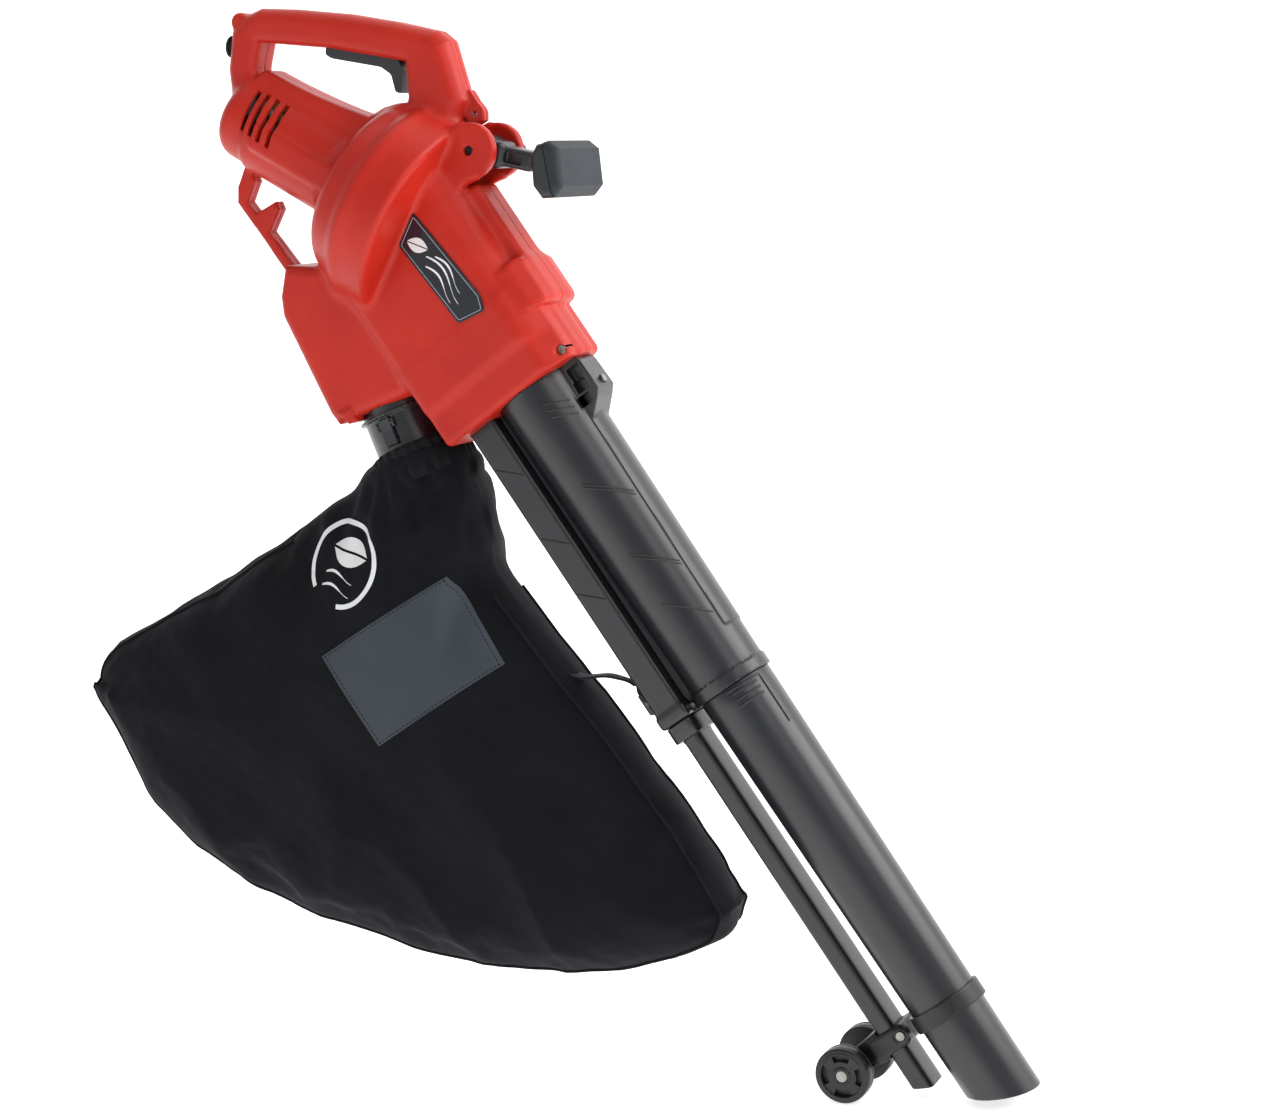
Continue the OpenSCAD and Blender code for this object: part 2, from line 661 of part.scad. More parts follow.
module wheel(s) {
    y0 = s > 0 ? wheel_gap / 2 : -wheel_gap / 2 - wheel_w;
    face = s > 0 ? y0 + wheel_w : y0;
    translate([axle_x, 0, -axle_drop]) difference() {
        union() {
            rod_y(wheel_r, y0 + 1, y0 + wheel_w - 1);
            rod_y(wheel_r - 1.5, y0, y0 + wheel_w);
        }
        rod_y(axle_r + run, y0 - 1, y0 + wheel_w + 1);
        rod_y(6, face - (s > 0 ? 3 : 1), face + (s > 0 ? 1 : 3));
        for (i = [0:3]) rotate([0, 90 * i + 15, 0]) translate([0, face + 4, 0]) rotate([90, 0, 0])
            rotate_extrude(angle = 60) translate([wheel_r * 0.52, 0]) square([wheel_r * 0.24, 8]);
    }
}
module wheel_near() color(black) tool() wheel(-1);
module wheel_far() color(black) tool() wheel(1);
module axle_screws() color(steel) tool() translate([axle_x, 0, -axle_drop]) for (s = [-1, 1])
    mirror([0, s < 0 ? 1 : 0, 0]) {
        rod_y(1.5, axle_half - 8, axle_half + 1);
        rod_y(5, axle_half + clear / 3, axle_half + 2.5);
    }

// ---- bag -----------------------------------------------------------------------------

module bag_adaptor() color(black) tool() at_outlet() difference() {
    union() {
        rod_x(adaptor_r, -17, adaptor_out);
        rod_x(adaptor_r + 4, 3 + clear, 6);
        for (s = [-1, 1]) box(10, 18, -adaptor_r - 3.2, -adaptor_r + 2, s > 0 ? 7 : -10, s > 0 ? 10 : -7);
    }
    rod_x(adaptor_r - 2.5, -18, adaptor_out + 1);
    box(8, 34, -adaptor_r - 4, -adaptor_r + 1.6, -7, 7);
    translate([14, -adaptor_r - 1.6, 0]) rod_z(0.8 + run, -9.6, 9.6);
}
module bag_latch() color("#2b2d31") tool() at_outlet() difference() {
    union() {
        box(9, 33, -adaptor_r - 3, -adaptor_r - 0.2, -6, 6);
        for (i = [0:5]) box(21 + 2 * i, 22 + 2 * i, -adaptor_r - 4, -adaptor_r - 2, -6, 6);
    }
    translate([14, -adaptor_r - 1.6, 0]) rod_z(0.8 + run, -9, 9);
}
module latch_pin() color(steel) tool() at_outlet() translate([14, -adaptor_r - 1.6, 0]) rod_z(0.8, -9.3, 9.3);
module latch_spring() color(steel) tool() at_outlet() box(24, 31, -adaptor_r + 1, -adaptor_r + 1.5, -4, 4);
module bag_collar() color(black) tool() at_outlet() ring_x(adaptor_r + clear, adaptor_r + 5, 40, adaptor_out);

bag_rim = [[240, -246, 46], [222, -640, 30], [300, -660, 26], [385, -646, 26], [468, -606, 28],
    [594, -502, 28], [684, -372, 28], [710, -240, 28]];
bag_belly = [[340, -470, 66], [470, -440, bag_half], [400, -330, 68], [520, -320, bag_half - 6]];
module bag() color(cloth) tool() difference() {
    hull() {
        for (p = concat(bag_rim, bag_belly)) translate([p[0], 0, p[1]]) sphere(r = p[2], $fn = 24);
    }
    at_outlet() rod_x(adaptor_r + 5 + clear, -60, adaptor_out + clear);
}
// Height of the bag's front edge, which the strap is sewn to.
function bag_front(x) = let (a = bag_rim[0], b = bag_rim[len(bag_rim) - 1], t = (x - a[0]) / (b[0] - a[0]))
    a[1] + a[2] + t * (b[1] + b[2] - a[1] - a[2]);
strap_x = hook_x - 40;
strap_z = bag_front(strap_x) + 0.2;
module bag_strap() color(black) tool() side([[strap_x, strap_z], [strap_x + 3, strap_z],
    [hook_x - 12, hook_z - 4], [hook_x - 12, hook_z - 1.8], [hook_x - 20, hook_z - 1.8]], -10, 10);
module snap_hook() color(steel) tool() translate([hook_x, 0, hook_z]) {
    rotate([0, 0, 100]) rotate_extrude(angle = 340) translate([hook_ring, 0]) circle(r = hook_wire, $fn = 16);
    side([[-22, -1.5], [-hook_ring, -1.5], [-hook_ring, 1.5], [-22, 1.5]], -4, 4);
}
module hook_gate() color(steel) tool() translate([hook_x, 0, hook_z])
    rotate([0, 0, 82.5]) rotate_extrude(angle = 15) translate([hook_ring, 0]) circle(r = 1.2, $fn = 16);

housing_near();
housing_far();
housing_screws();
label_plate();
cord_gland();
switch_body();
trigger();
trigger_pin();
trigger_spring();
motor_plate();
motor_end_bracket();
stator();
field_coils();
front_bearing();
rear_bearing();
brush_holders();
rotor_shaft();
armature();
commutator();
cooling_fan();
impeller();
impeller_nut();
inlet_ring();
mode_flap();
flap_shaft();
mode_knob();
handle_arm();
handle_grip();
pivot_bolt();
handle_knob();
upper_tube();
tube_screw();
lower_suction_tube();
lower_blow_tube();
joint_screw();
wheel_bracket();
bracket_screw();
wheel_axle();
wheel_near();
wheel_far();
axle_screws();
bag_adaptor();
bag_latch();
latch_pin();
latch_spring();
bag_collar();
bag();
bag_strap();
snap_hook();
hook_gate();
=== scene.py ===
# Looks for the leaf blower: moulded housing, tubes, grips, wheels, bag, strap and materials,
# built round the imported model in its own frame.
import json
import math

import bmesh
import bpy
import numpy as np
from mathutils import Matrix, Vector, noise
from mathutils.bvhtree import BVHTree


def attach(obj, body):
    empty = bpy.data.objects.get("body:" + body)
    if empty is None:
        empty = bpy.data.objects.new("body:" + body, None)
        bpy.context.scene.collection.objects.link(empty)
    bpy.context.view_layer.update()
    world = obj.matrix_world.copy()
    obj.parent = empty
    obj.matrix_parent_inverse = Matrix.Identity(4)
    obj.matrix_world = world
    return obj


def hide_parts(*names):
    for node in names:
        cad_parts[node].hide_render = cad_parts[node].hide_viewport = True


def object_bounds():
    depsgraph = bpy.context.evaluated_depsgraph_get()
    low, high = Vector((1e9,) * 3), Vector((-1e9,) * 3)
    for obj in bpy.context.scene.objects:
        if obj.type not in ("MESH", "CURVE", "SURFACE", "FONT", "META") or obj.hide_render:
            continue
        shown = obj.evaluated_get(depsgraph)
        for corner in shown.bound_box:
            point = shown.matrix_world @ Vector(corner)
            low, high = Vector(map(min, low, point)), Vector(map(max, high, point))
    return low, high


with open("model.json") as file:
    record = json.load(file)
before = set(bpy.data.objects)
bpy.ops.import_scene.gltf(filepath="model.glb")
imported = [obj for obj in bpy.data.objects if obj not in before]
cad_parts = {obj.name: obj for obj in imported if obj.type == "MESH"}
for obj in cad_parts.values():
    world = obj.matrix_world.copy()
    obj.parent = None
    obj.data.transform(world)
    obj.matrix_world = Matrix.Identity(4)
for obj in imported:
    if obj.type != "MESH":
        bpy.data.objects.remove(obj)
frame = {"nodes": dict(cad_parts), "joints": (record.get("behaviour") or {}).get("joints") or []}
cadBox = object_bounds()
joints = {j["name"]: j for j in frame["joints"]}
print("frame loaded:", len(frame["nodes"]), "nodes")

# Moulded pieces are designed in a tool frame, in millimetres: x down along the tubes,
# z to the front, y across, with the origin in the strap eye. toolToRow turns points into the
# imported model's frame, in metres.
lean = math.radians(58)
toolToRow = np.array([
    [math.cos(lean), 0, math.sin(lean)],
    [0, 1, 0],
    [-math.sin(lean), 0, math.cos(lean)]]) * 0.001
rowToTool = np.linalg.inv(toolToRow)
gripTilt = math.radians(46.7)
motorTilt = math.radians(26)
outletTilt = math.radians(-13)


def toTool(point):
    return rowToTool @ np.array(point, float)


pivot = toTool(joints["front_handle_tilt"]["pos_m"])
fan = toTool(joints["rotor_spin"]["pos_m"])
flap = toTool(joints["mode_select"]["pos_m"])
axle = toTool(joints["left_wheel_spin"]["pos_m"])
outlet = (163, 0, -228)
axisDrop = 100          # suction tube's axis
channelDrop = 158       # blow channel's axis
mouthAt = 232           # housing's mouth
jointAt = 552           # where the lower tubes plug in
tipAt = 990             # suction tube's tip

cameraStyle = {"sensor": 36, "lens": 70.875, "clip": 30, "place": (1.0613, -2.03706, -0.10916),
               "looks": (-0.41405, 0.90075, -0.13118), "up": (0.01836, 0.15235, 0.98816)}


def makeCamera():
    s = cameraStyle
    data = bpy.data.cameras.new("camera")
    data.sensor_width, data.lens, data.clip_end = s["sensor"], s["lens"], s["clip"]
    cam = bpy.data.objects.new("camera", data)
    bpy.context.collection.objects.link(cam)
    forward = Vector(s["looks"]).normalized()
    right = forward.cross(Vector(s["up"])).normalized()
    turn = Matrix((right, right.cross(forward), -forward)).transposed().to_4x4()
    cam.matrix_world = Matrix.Translation(s["place"]) @ turn
    bpy.context.scene.camera = cam
    print("camera placed")


makeCamera()


# A field takes arrays x, y, z in millimetres and gives the distance to a surface, negative inside.
def length(*parts):
    return np.sqrt(sum(p * p for p in parts))


def box(lo, hi, r=0.0):
    lo, hi = np.array(lo, float), np.array(hi, float)
    c, h = (lo + hi) / 2, (hi - lo) / 2 - r

    def field(x, y, z):
        q = [abs(x - c[0]) - h[0], abs(y - c[1]) - h[1], abs(z - c[2]) - h[2]]
        inner = np.minimum(np.maximum(q[0], np.maximum(q[1], q[2])), 0)
        return length(*[np.maximum(v, 0) for v in q]) + inner - r
    return field


def drum(axis, r, lo, hi, edge=0.0, r2=None):  # a disc or cone along an axis, its rims rounded by edge
    r2 = r if r2 is None else r2

    def field(x, y, z):
        p = [x, y, z]
        s = p.pop(axis)
        t = np.clip((s - lo) / (hi - lo), 0, 1)
        qr = length(*p) - (r + (r2 - r) * t) + edge
        qs = abs(s - (lo + hi) / 2) - (hi - lo) / 2 + edge
        return length(np.maximum(qr, 0), np.maximum(qs, 0)) + np.minimum(np.maximum(qr, qs), 0) - edge
    return field


def polygon(points, x, z):  # distance to an outline
    pts = np.array(points, float)
    best = np.full(x.shape, 1e12)
    sign = np.ones(x.shape)
    for a, b in zip(pts, np.roll(pts, 1, 0)):
        e = b - a
        wx, wz = x - a[0], z - a[1]
        t = np.clip((wx * e[0] + wz * e[1]) / (e @ e), 0, 1)
        best = np.minimum(best, (wx - e[0] * t) ** 2 + (wz - e[1] * t) ** 2)
        above, below, left = z >= a[1], z < b[1], e[0] * wz > e[1] * wx
        sign = np.where((above & below & left) | ~(above | below | left), -sign, sign)
    return sign * np.sqrt(best)


def flat(points, y0, y1, r=0.0):  # an outline in x and z given a width, its edges rounded by r
    def field(x, y, z):
        q = polygon(points, x, z) + r
        w = abs(y - (y0 + y1) / 2) - (y1 - y0) / 2 + r
        return length(np.maximum(q, 0), np.maximum(w, 0)) + np.minimum(np.maximum(q, w), 0) - r
    return field


def plane(point, normal):  # keeps what lies behind the plane
    n = np.array(normal, float) / np.linalg.norm(normal)
    return lambda x, y, z: (x - point[0]) * n[0] + (y - point[1]) * n[1] + (z - point[2]) * n[2]


def placed(field, origin=(0, 0, 0), tilt=0.0):  # moved to origin, its x axis turned towards z
    c, s = math.cos(tilt), math.sin(tilt)

    def moved(x, y, z):
        u, w = x - origin[0], z - origin[2]
        return field(u * c + w * s, y - origin[1], -u * s + w * c)
    return moved


def merge(k, *fields):  # all of them, with fillets about k wide
    def field(x, y, z):
        d = fields[0](x, y, z)
        for f in fields[1:]:
            e = f(x, y, z)
            h = np.maximum(k - abs(d - e), 0) / k
            d = np.minimum(d, e) - h * h * k / 4
        return d
    return field


def shared(k, *fields):  # what lies in all of them, with edges eased over k
    def field(x, y, z):
        d = fields[0](x, y, z)
        for f in fields[1:]:
            e = f(x, y, z)
            h = np.maximum(k - abs(d - e), 0) / k
            d = np.maximum(d, e) + h * h * k / 4
        return d
    return field


def inverse(field):
    return lambda x, y, z: -field(x, y, z)


def cut(k, body, *tools):
    return shared(k, body, *[inverse(t) for t in tools])


def mirrored(field):
    return lambda x, y, z: field(x, abs(y), z)


def mirroredZ(field):
    return lambda x, y, z: field(x, y, abs(z))


def slope(field, p, h=0.04):
    base = field(*p.T)
    g = np.stack([field(*(p + h * axis).T) - base for axis in np.eye(3)], 1)
    return base, g / np.maximum(np.linalg.norm(g, axis=1, keepdims=True), 1e-9)


def sampled(field, lo, shape, step, block=6):  # the field on a grid, fine only near the surface
    full = np.full(shape, 1e3, np.float32)
    counts = [-(-n // block) for n in shape]
    cells = np.stack(np.meshgrid(*[np.arange(n) for n in counts], indexing="ij"), -1).reshape(-1, 3)
    d = field(*(lo + (cells + 0.5) * block * step).T)
    close = abs(d) < block * step.max() * 1.25
    for i, j, k in cells[~close & (d < 0)] * block:
        full[i:i + block, j:j + block, k:k + block] = -1e3
    offsets = np.stack(np.meshgrid(*[np.arange(block)] * 3, indexing="ij"), -1).reshape(-1, 3)
    cells = cells[close] * block
    for start in range(0, len(cells), 3000):
        index = (cells[start:start + 3000, None] + offsets[None]).reshape(-1, 3)
        index = index[(index < np.array(shape)).all(1)]
        full[tuple(index.T)] = field(*(lo + index * step).T)
    return full


def contour(field, lo, hi, step):  # vertices and quads of the surface, with its creases kept
    step = np.ones(3) * step
    half = step.max() / 2
    lo = np.array(lo, float) - step * 2.37
    shape = tuple(np.ceil((np.array(hi, float) + 2 * step - lo) / step).astype(int) + 1)
    vals = sampled(field, lo, shape, step)
    cellShape = tuple(n - 1 for n in shape)
    crossings, quads = [], []
    for axis in range(3):
        a = vals[tuple(slice(0, -1) if i == axis else slice(None) for i in range(3))]
        b = vals[tuple(slice(1, None) if i == axis else slice(None) for i in range(3))]
        index = np.argwhere((a < 0) != (b < 0))
        u, v = (axis + 1) % 3, (axis + 2) % 3
        inside = [(index[:, w] > 0) & (index[:, w] < shape[w] - 1) for w in (u, v)]
        index = index[inside[0] & inside[1]]
        va, vb = a[tuple(index.T)].astype(float), b[tuple(index.T)].astype(float)
        p = index.astype(float)
        p[:, axis] += va / (va - vb)
        around = []
        for du, dv in ((0, 0), (-1, 0), (-1, -1), (0, -1)):
            c = index.copy()
            c[:, u] += du
            c[:, v] += dv
            around.append(np.ravel_multi_index(tuple(c.T), cellShape))
        around = np.stack(around, 1)
        quads.append(np.where((va > 0)[:, None], around[:, ::-1], around))
        crossings.append((lo + p * step, around))
    points = np.concatenate([np.tile(p, (4, 1)) for p, around in crossings])
    normal = np.concatenate([np.tile(slope(field, p)[1], (4, 1)) for p, around in crossings])
    cells = np.concatenate([around.T.ravel() for p, around in crossings])
    used, where = np.unique(cells, return_inverse=True)
    n = len(used)

    def total(values):
        return np.stack([np.bincount(where, values[:, i], n) for i in range(values.shape[1])], 1)

    count = np.bincount(where, minlength=n)[:, None]
    mean = total(points) / count
    gap, direction = slope(field, mean)
    verts = mean - np.clip(gap, -half, half)[:, None] * direction
    verts -= np.clip(field(*verts.T), -half, half)[:, None] * direction
    crease = np.linalg.norm(total(normal), axis=1) / count[:, 0] < 0.93
    offset = np.einsum("ij,ij->i", normal, points - mean[where])
    matrix = total((normal[:, :, None] * normal[:, None, :]).reshape(-1, 9)).reshape(-1, 3, 3)
    matrix += np.eye(3) * 0.06
    edge = mean + np.linalg.solve(matrix, total(normal * offset[:, None])[..., None])[..., 0]
    centre = lo + (np.stack(np.unravel_index(used, cellShape), 1) + 0.5) * step
    verts[crease] = np.clip(edge, centre - step / 2, centre + step / 2)[crease]
    verts = np.clip(verts, centre - step * 0.7, centre + step * 0.7)
    remap = np.full(int(np.prod(cellShape)), -1)
    remap[used] = np.arange(n)
    return verts, remap[np.concatenate(quads)]


def meshObject(name, verts, faces, sharp=40):  # verts in metres; sharp is a crease's angle, 0 for none
    mesh = bpy.data.meshes.new(name)
    mesh.from_pydata(np.asarray(verts, float).tolist(), [], [list(map(int, f)) for f in faces])
    mesh.validate()
    mesh.shade_smooth()
    if sharp:
        mesh.set_sharp_from_angle(angle=math.radians(sharp))
    obj = bpy.data.objects.new(name, mesh)
    bpy.context.collection.objects.link(obj)
    return obj


def moulded(name, field, lo, hi, step, sharp=40):  # a piece in the row frame from a field in the tool frame
    verts, quads = contour(field, lo, hi, step)
    print("made", name, len(quads) * 2, "triangles")
    return meshObject(name, verts @ toolToRow.T, quads, sharp)


def lofted(name, rings, sharp=40):  # closed rings of points, the last joined to the first
    rings = np.array(rings, float)
    count, around = rings.shape[:2]
    i, j = np.meshgrid(np.arange(count), np.arange(around), indexing="ij")
    i2, j2 = (i + 1) % count, (j + 1) % around
    faces = np.stack([i * around + j, i * around + j2, i2 * around + j2, i2 * around + j], -1)
    print("made", name, count * around * 2, "triangles")
    return meshObject(name, rings.reshape(-1, 3) @ toolToRow.T, faces.reshape(-1, 4), sharp)


def onAxis(field):  # round the suction tube's axis
    return placed(field, (0, 0, -axisDrop))


def onMotor(field):  # x along the motor's shaft, from the fan
    return placed(field, fan, motorTilt)


def onHandle(field):
    return placed(field, tilt=gripTilt)


# Housing: two shells moulded in one form, parted along the middle.
housingStyle = {
    "step": 1.9, "fillet": 11.0, "seam": 0.02, "seamEdge": 1.4, "handleHalf": 19, "throatHalf": 48,
    "barrel": 40, "fan": 97, "fanBack": 82, "disc": 25, "eye": 8.5, "eyeHole": 2.8, "vents": 4,
    "ventWidth": 4.6, "ventPitch": 11.0, "screwHole": 4.4}
screwPlaces = [     # x, z and the side that the head is on, 1 for far
    (-190.5, -143.5, 1), (-50, -8.5, 1), (160, -46, 1), (mouthAt - 9, -46, -1), (38, -249, 1),
    (128, -262, 1), (-100, -230, 1)]


def chamfer(offset=0.0):  # slopes the throat's front corners
    return mirrored(plane((0, housingStyle["throatHalf"] + offset, -66), (0, 28, 18)))


def housingForm():
    s = housingStyle
    half = s["throatHalf"]
    handle = onHandle(cut(
        10, flat([[-250, -22], [-190, -34], [-100, -56], [-22, -40], [-7, 11], [-30, 62], [-42, 69],
                 [-84, 73], [-136, 75.5], [-190, 74.5], [-228, 72], [-244, 64], [-257, 48],
                 [-258, 13]], -s["handleHalf"], s["handleHalf"], 15),
        flat([[-227, 9], [-104, -13], [-88, -4], [-63, 2], [-70, 39], [-150, 43], [-223, 41]],
             -60, 60, 8)))
    barrel = onMotor(merge(
        5, drum(0, s["barrel"], -186, -30, 16), drum(0, s["barrel"] + 3, -152, -60, 4),
        box((-172, -19, 12), (-40, 19, 51), 7), box((-140, -45.5, -14), (-50, 45.5, 12), 4)))
    volute = onMotor(merge(
        12, drum(0, s["fanBack"], -39, 6, 14, r2=s["fan"]), drum(0, s["fan"], -3, 39, 6)))
    throat = shared(5, box((26, -half, -186), (198, half, -34), 7), chamfer())
    throat = shared(8, throat, placed(box((-300, -60, -400), (400, 60, 0), 4), (0, 0, -40), -0.04))
    lip = shared(3, box((150, -45.4, -188), (mouthAt, 45.4, -40), 6), chamfer(-1.5))
    ridge = box((52, -21, -60), (178, 21, -30), 6)
    flare = shared(3, box((132, -40, -92), (180, 40, -29), 7), chamfer(5.5))
    rail = box((176, -15, -60), (mouthAt, 15, -38.5), 4)
    chamber = flat([[0, -228], [20, -250], [36, -259], [136, -273], [149, -272], [172, -184],
                    [160, -150], [60, -150]], -42, 42, 10)
    tab = flat([[142, -262], [156, -259], [159, -250], [145, -250]], -44, 44, 1.5)
    hook = flat([[-112, -214], [-97, -240], [-86, -249], [6, -246], [14, -234], [-44, -238],
                 [-54, -217], [-62, -215], [-66, -239], [-80, -240], [-90, -222]], -8, 8, 2.5)
    body = merge(s["fillet"], handle, barrel, volute)
    body = merge(7, body, merge(3, merge(7, throat, lip), flare, rail))
    body = merge(9, body, chamber, ridge)
    body = merge(4, body, hook, tab)
    nub = placed(drum(1, 9, -12.5, 12.5, 5), (-250, 0, 57))
    body = merge(4, body, onHandle(nub))
    disc = mirrored(placed(drum(1, s["disc"], 22.5, 32, 2.5), pivot))
    cheek = mirrored(flat([[-4, -60], [48, -60], [53, -24], [6, -6]], 22.5, 31, 3))
    return merge(6, body, disc, cheek)


def ventSlots(side):
    s = housingStyle
    half = s["vents"] * s["ventPitch"] / 2

    def field(x, y, z):
        angle = np.arctan2(z, side * y)
        slant = x + 138 + 6 * angle
        ring = abs((slant + half) % s["ventPitch"] - s["ventPitch"] / 2) - s["ventWidth"] / 2
        arc = (abs(angle - 0.42) - 0.52) * 42
        return np.maximum(np.maximum(ring, abs(slant) - half), np.maximum(arc, 30 - length(y, z)))
    return onMotor(field)


def housingField():
    s = housingStyle
    eye = merge(4, drum(1, s["eye"], -5, 5, 1.2),
                flat([[-22, -6], [8, -10], [10, 4], [2, 8], [-20, 9]], -5, 5, 1))
    inside = [
        onMotor(merge(1, drum(0, 35.5, -179, -42, 13), drum(0, 38.4, -149, -63, 2))),
        onMotor(merge(1, drum(0, 77.5, -33, -2, 3, r2=87), drum(0, 91, -6, 34, 6), drum(0, 5, -50, -25))),
        box((40, -42, -178), (190, 42, -76), 8),
        flat([[46, -246], [136, -262], [150, -190], [66, -178]], -37, 37, 5)]
    tools = [
        onAxis(drum(0, 40.6, 148, 260)),
        box((186, -24.6, -173.6), (260, 24.6, -142.6), 5),
        placed(drum(0, 36.4, -30, 40), outlet, outletTilt),
        onHandle(box((-161, -8.5, 20), (-58, 8.5, 62))),
        onHandle(placed(drum(0, 8.4, -275, -235), (0, 0, 34))),
        placed(drum(1, 4.4, -60, -20, 0.4), pivot),
        placed(drum(1, 4.3, 15, 60), pivot),
        placed(drum(1, 4.4, 30, 60), flap),
        ventSlots(-1), ventSlots(1)]
    for px, pz, side in screwPlaces:
        span = (6, 80) if side > 0 else (-80, -6)
        tools.append(placed(drum(1, s["screwHole"], *span), (px, 0, pz)))
    body = cut(4, housingForm(), placed(drum(1, 17.5, -22.2, 22.2), pivot))
    body = cut(1.2, body, *inside, *tools)
    return cut(0.8, merge(3, body, eye), drum(1, s["eyeHole"], -9, 9))


def makeHousing():
    s = housingStyle
    whole, gap, step = housingField(), s["seam"], s["step"]
    lo, hi = (-226, -104, -290), (244, 104, 112)
    nearHalf = shared(s["seamEdge"], whole, plane((0, -gap, 0), (0, 1, 0)))
    farHalf = shared(s["seamEdge"], whole, plane((0, gap, 0), (0, -1, 0)))
    return (moulded("housing_shell_near", nearHalf, lo, (hi[0], 2, hi[2]), step),
            moulded("housing_shell_far", farHalf, (lo[0], -2, lo[2]), hi, step))


# Upper tube: suction tube with the blow channel under it, the lug, the keel and the joint's collar.
upperStyle = {"step": (3.0, 1.15, 1.15), "radius": 40, "taper": 4, "keelWidth": 36, "keelRise": 1.1}


def tubeRadius(x):
    s = upperStyle
    return s["radius"] - s["taper"] * np.clip((x - mouthAt) / (jointAt - mouthAt), 0, 1)


def upperField():
    s = upperStyle
    r = s["radius"]
    tube = onAxis(drum(0, r, mouthAt, jointAt, 0.5, r2=r - s["taper"]))
    root = onAxis(drum(0, r, 152, mouthAt + 2, 0.5))

    def keel(x, y, z):  # the flat-sided strip along the front
        rise = length(y, z + axisDrop) - tubeRadius(x) - s["keelRise"]
        side = abs(y) - s["keelWidth"] / 2
        return np.maximum(np.maximum(rise, side), np.maximum(abs(x - 368) - 136, -z - 90))
    channel = box((190, -24, -173), (jointAt, 24, -143), 4.5)
    web = box((mouthAt + 1, -11, -150), (jointAt, 11, -130), 1)
    collar = onAxis(drum(0, 38, 540, jointAt, 0.8))
    band = box((537, -25.6, -174.6), (jointAt, 25.6, -141), 4.5)
    lug = flat([[228, -70], [232, -45.5], [237, -43], [266, -42], [273, -48], [289, -66], [280, -84],
                [240, -84]], -17, 17, 1.2)
    eyeTab = flat([[512, -170], [510, -186], [532, -186], [536, -170]], -3, 3, 0.8)
    body = merge(2.5, merge(1, tube, root), channel, web)
    body = merge(0.8, body, keel)
    body = merge(1.2, body, collar, band, lug, eyeTab)
    cells = [box((x0, -30, z0), (x1, -8, z0 + 13.5), 0.8)      # pockets in the lug's near side
             for x0, x1, z0 in ((238, 249, -60), (251, 262, -62), (264, 274, -66))]
    bores = [
        onAxis(drum(0, 37.6, 148, 552.5, r2=33.8)), onAxis(drum(0, 34, 500, 560)),
        box((180, -20.5, -169.5), (560, 20.5, -146.5), 3),
        placed(drum(1, 4, -6, 6), (521, 0, -180)),
        placed(drum(1, 2.6, -30, -10), (546, 0, -139.4)),
        placed(drum(2, 4, -46, -30), (260, 0, 0))]
    return cut(0.6, body, *cells, *bores)


def makeUpperTube():
    return moulded("upper_tube_moulding", upperField(), (150, -42, -188), (554, 42, -40),
                   upperStyle["step"])


def ringAt(x, ry, rz, z0, count, corner=2):  # an ellipse, squarer as corner rises
    angle = np.linspace(0, 2 * math.pi, count, endpoint=False)
    c, s = np.cos(angle), np.sin(angle)
    y = np.sign(c) * abs(c) ** (2 / corner) * ry
    z = np.sign(s) * abs(s) ** (2 / corner) * rz
    return np.stack([np.full(count, float(x)), y, z0 + z], 1)


def slanted(ring, z0, drop, end):  # a ring sheared so that its front reaches furthest
    out = ring.copy()
    out[:, 0] = end + (ring[:, 2] - z0) * drop
    return out


# Lower tubes: round for suction, flat-sided for blowing, both cut off at a slope.
lowerStyle = {"around": 128, "wall": 2.2, "mouthSlope": math.tan(math.radians(23)),
              "suctionEnd": 974, "blowEnd": 937}


def lowerRadius(x):
    return 35 - 4.5 * (x - jointAt) / (tipAt - jointAt)


def makeLowerSuction():
    s = lowerStyle
    end = s["suctionEnd"]

    def ring(x, r):
        return ringAt(x, r, r, -axisDrop, s["around"])

    def slantedRing(x, r):
        return slanted(ring(x, r), -axisDrop, s["mouthSlope"], x)

    inner = lowerRadius(end) - s["wall"]
    outside = [(508, 33.4), (510, 33.5), (jointAt + 0.2, 33.5), (jointAt + 0.4, 34.6),
               (jointAt + 1.2, lowerRadius(jointAt))]
    outside += [(x, lowerRadius(x)) for x in np.linspace(570, 940, 20)]
    rings = [ring(x, r) for x, r in outside]
    rings += [slantedRing(end - 0.5, lowerRadius(end)), slantedRing(end, lowerRadius(end) - 0.5),
              slantedRing(end, inner)]
    rings += [ring(x, r) for x, r in ((940, inner), (700, 31), (jointAt, 31.3), (508, 31.3))]
    return lofted("lower_suction_moulding", rings)


def makeLowerBlow():
    s = lowerStyle
    end = s["blowEnd"]

    def ring(x, ry, rz):
        return ringAt(x, ry, rz, -channelDrop, 96, 5)

    rings = [ring(*size) for size in (
        (508, 21.2, 12.2), (jointAt + 0.1, 21.2, 12.2), (jointAt + 0.4, 23.4, 14.4),
        (jointAt + 1, 24, 15), (567, 24, 15), (568, 23.4, 14.4), (569, 17.6, 10.1), (572, 17, 9.5),
        (700, 17, 9.5), (860, 17, 9.5), (925, 17, 9.5))]
    for x, trim in ((end - 0.5, 0), (end, 0.5), (end, 2)):
        rings.append(slanted(ring(x, 17 - trim, 9.5 - trim), -channelDrop, s["mouthSlope"], x))
    rings += [ring(*size) for size in ((900, 15, 7.5), (600, 15, 7.5), (560, 19, 10), (508, 19, 10))]
    return lofted("lower_blow_moulding", rings)


# Wheel bracket: a clamp ring on the suction tube, and a forked leg that the axle runs through.
bracketStyle = {"step": 1.1, "ring": 34.9, "from": 880, "to": 896, "axleHole": 3.1,
                "screw": (888, 0, -144.5)}


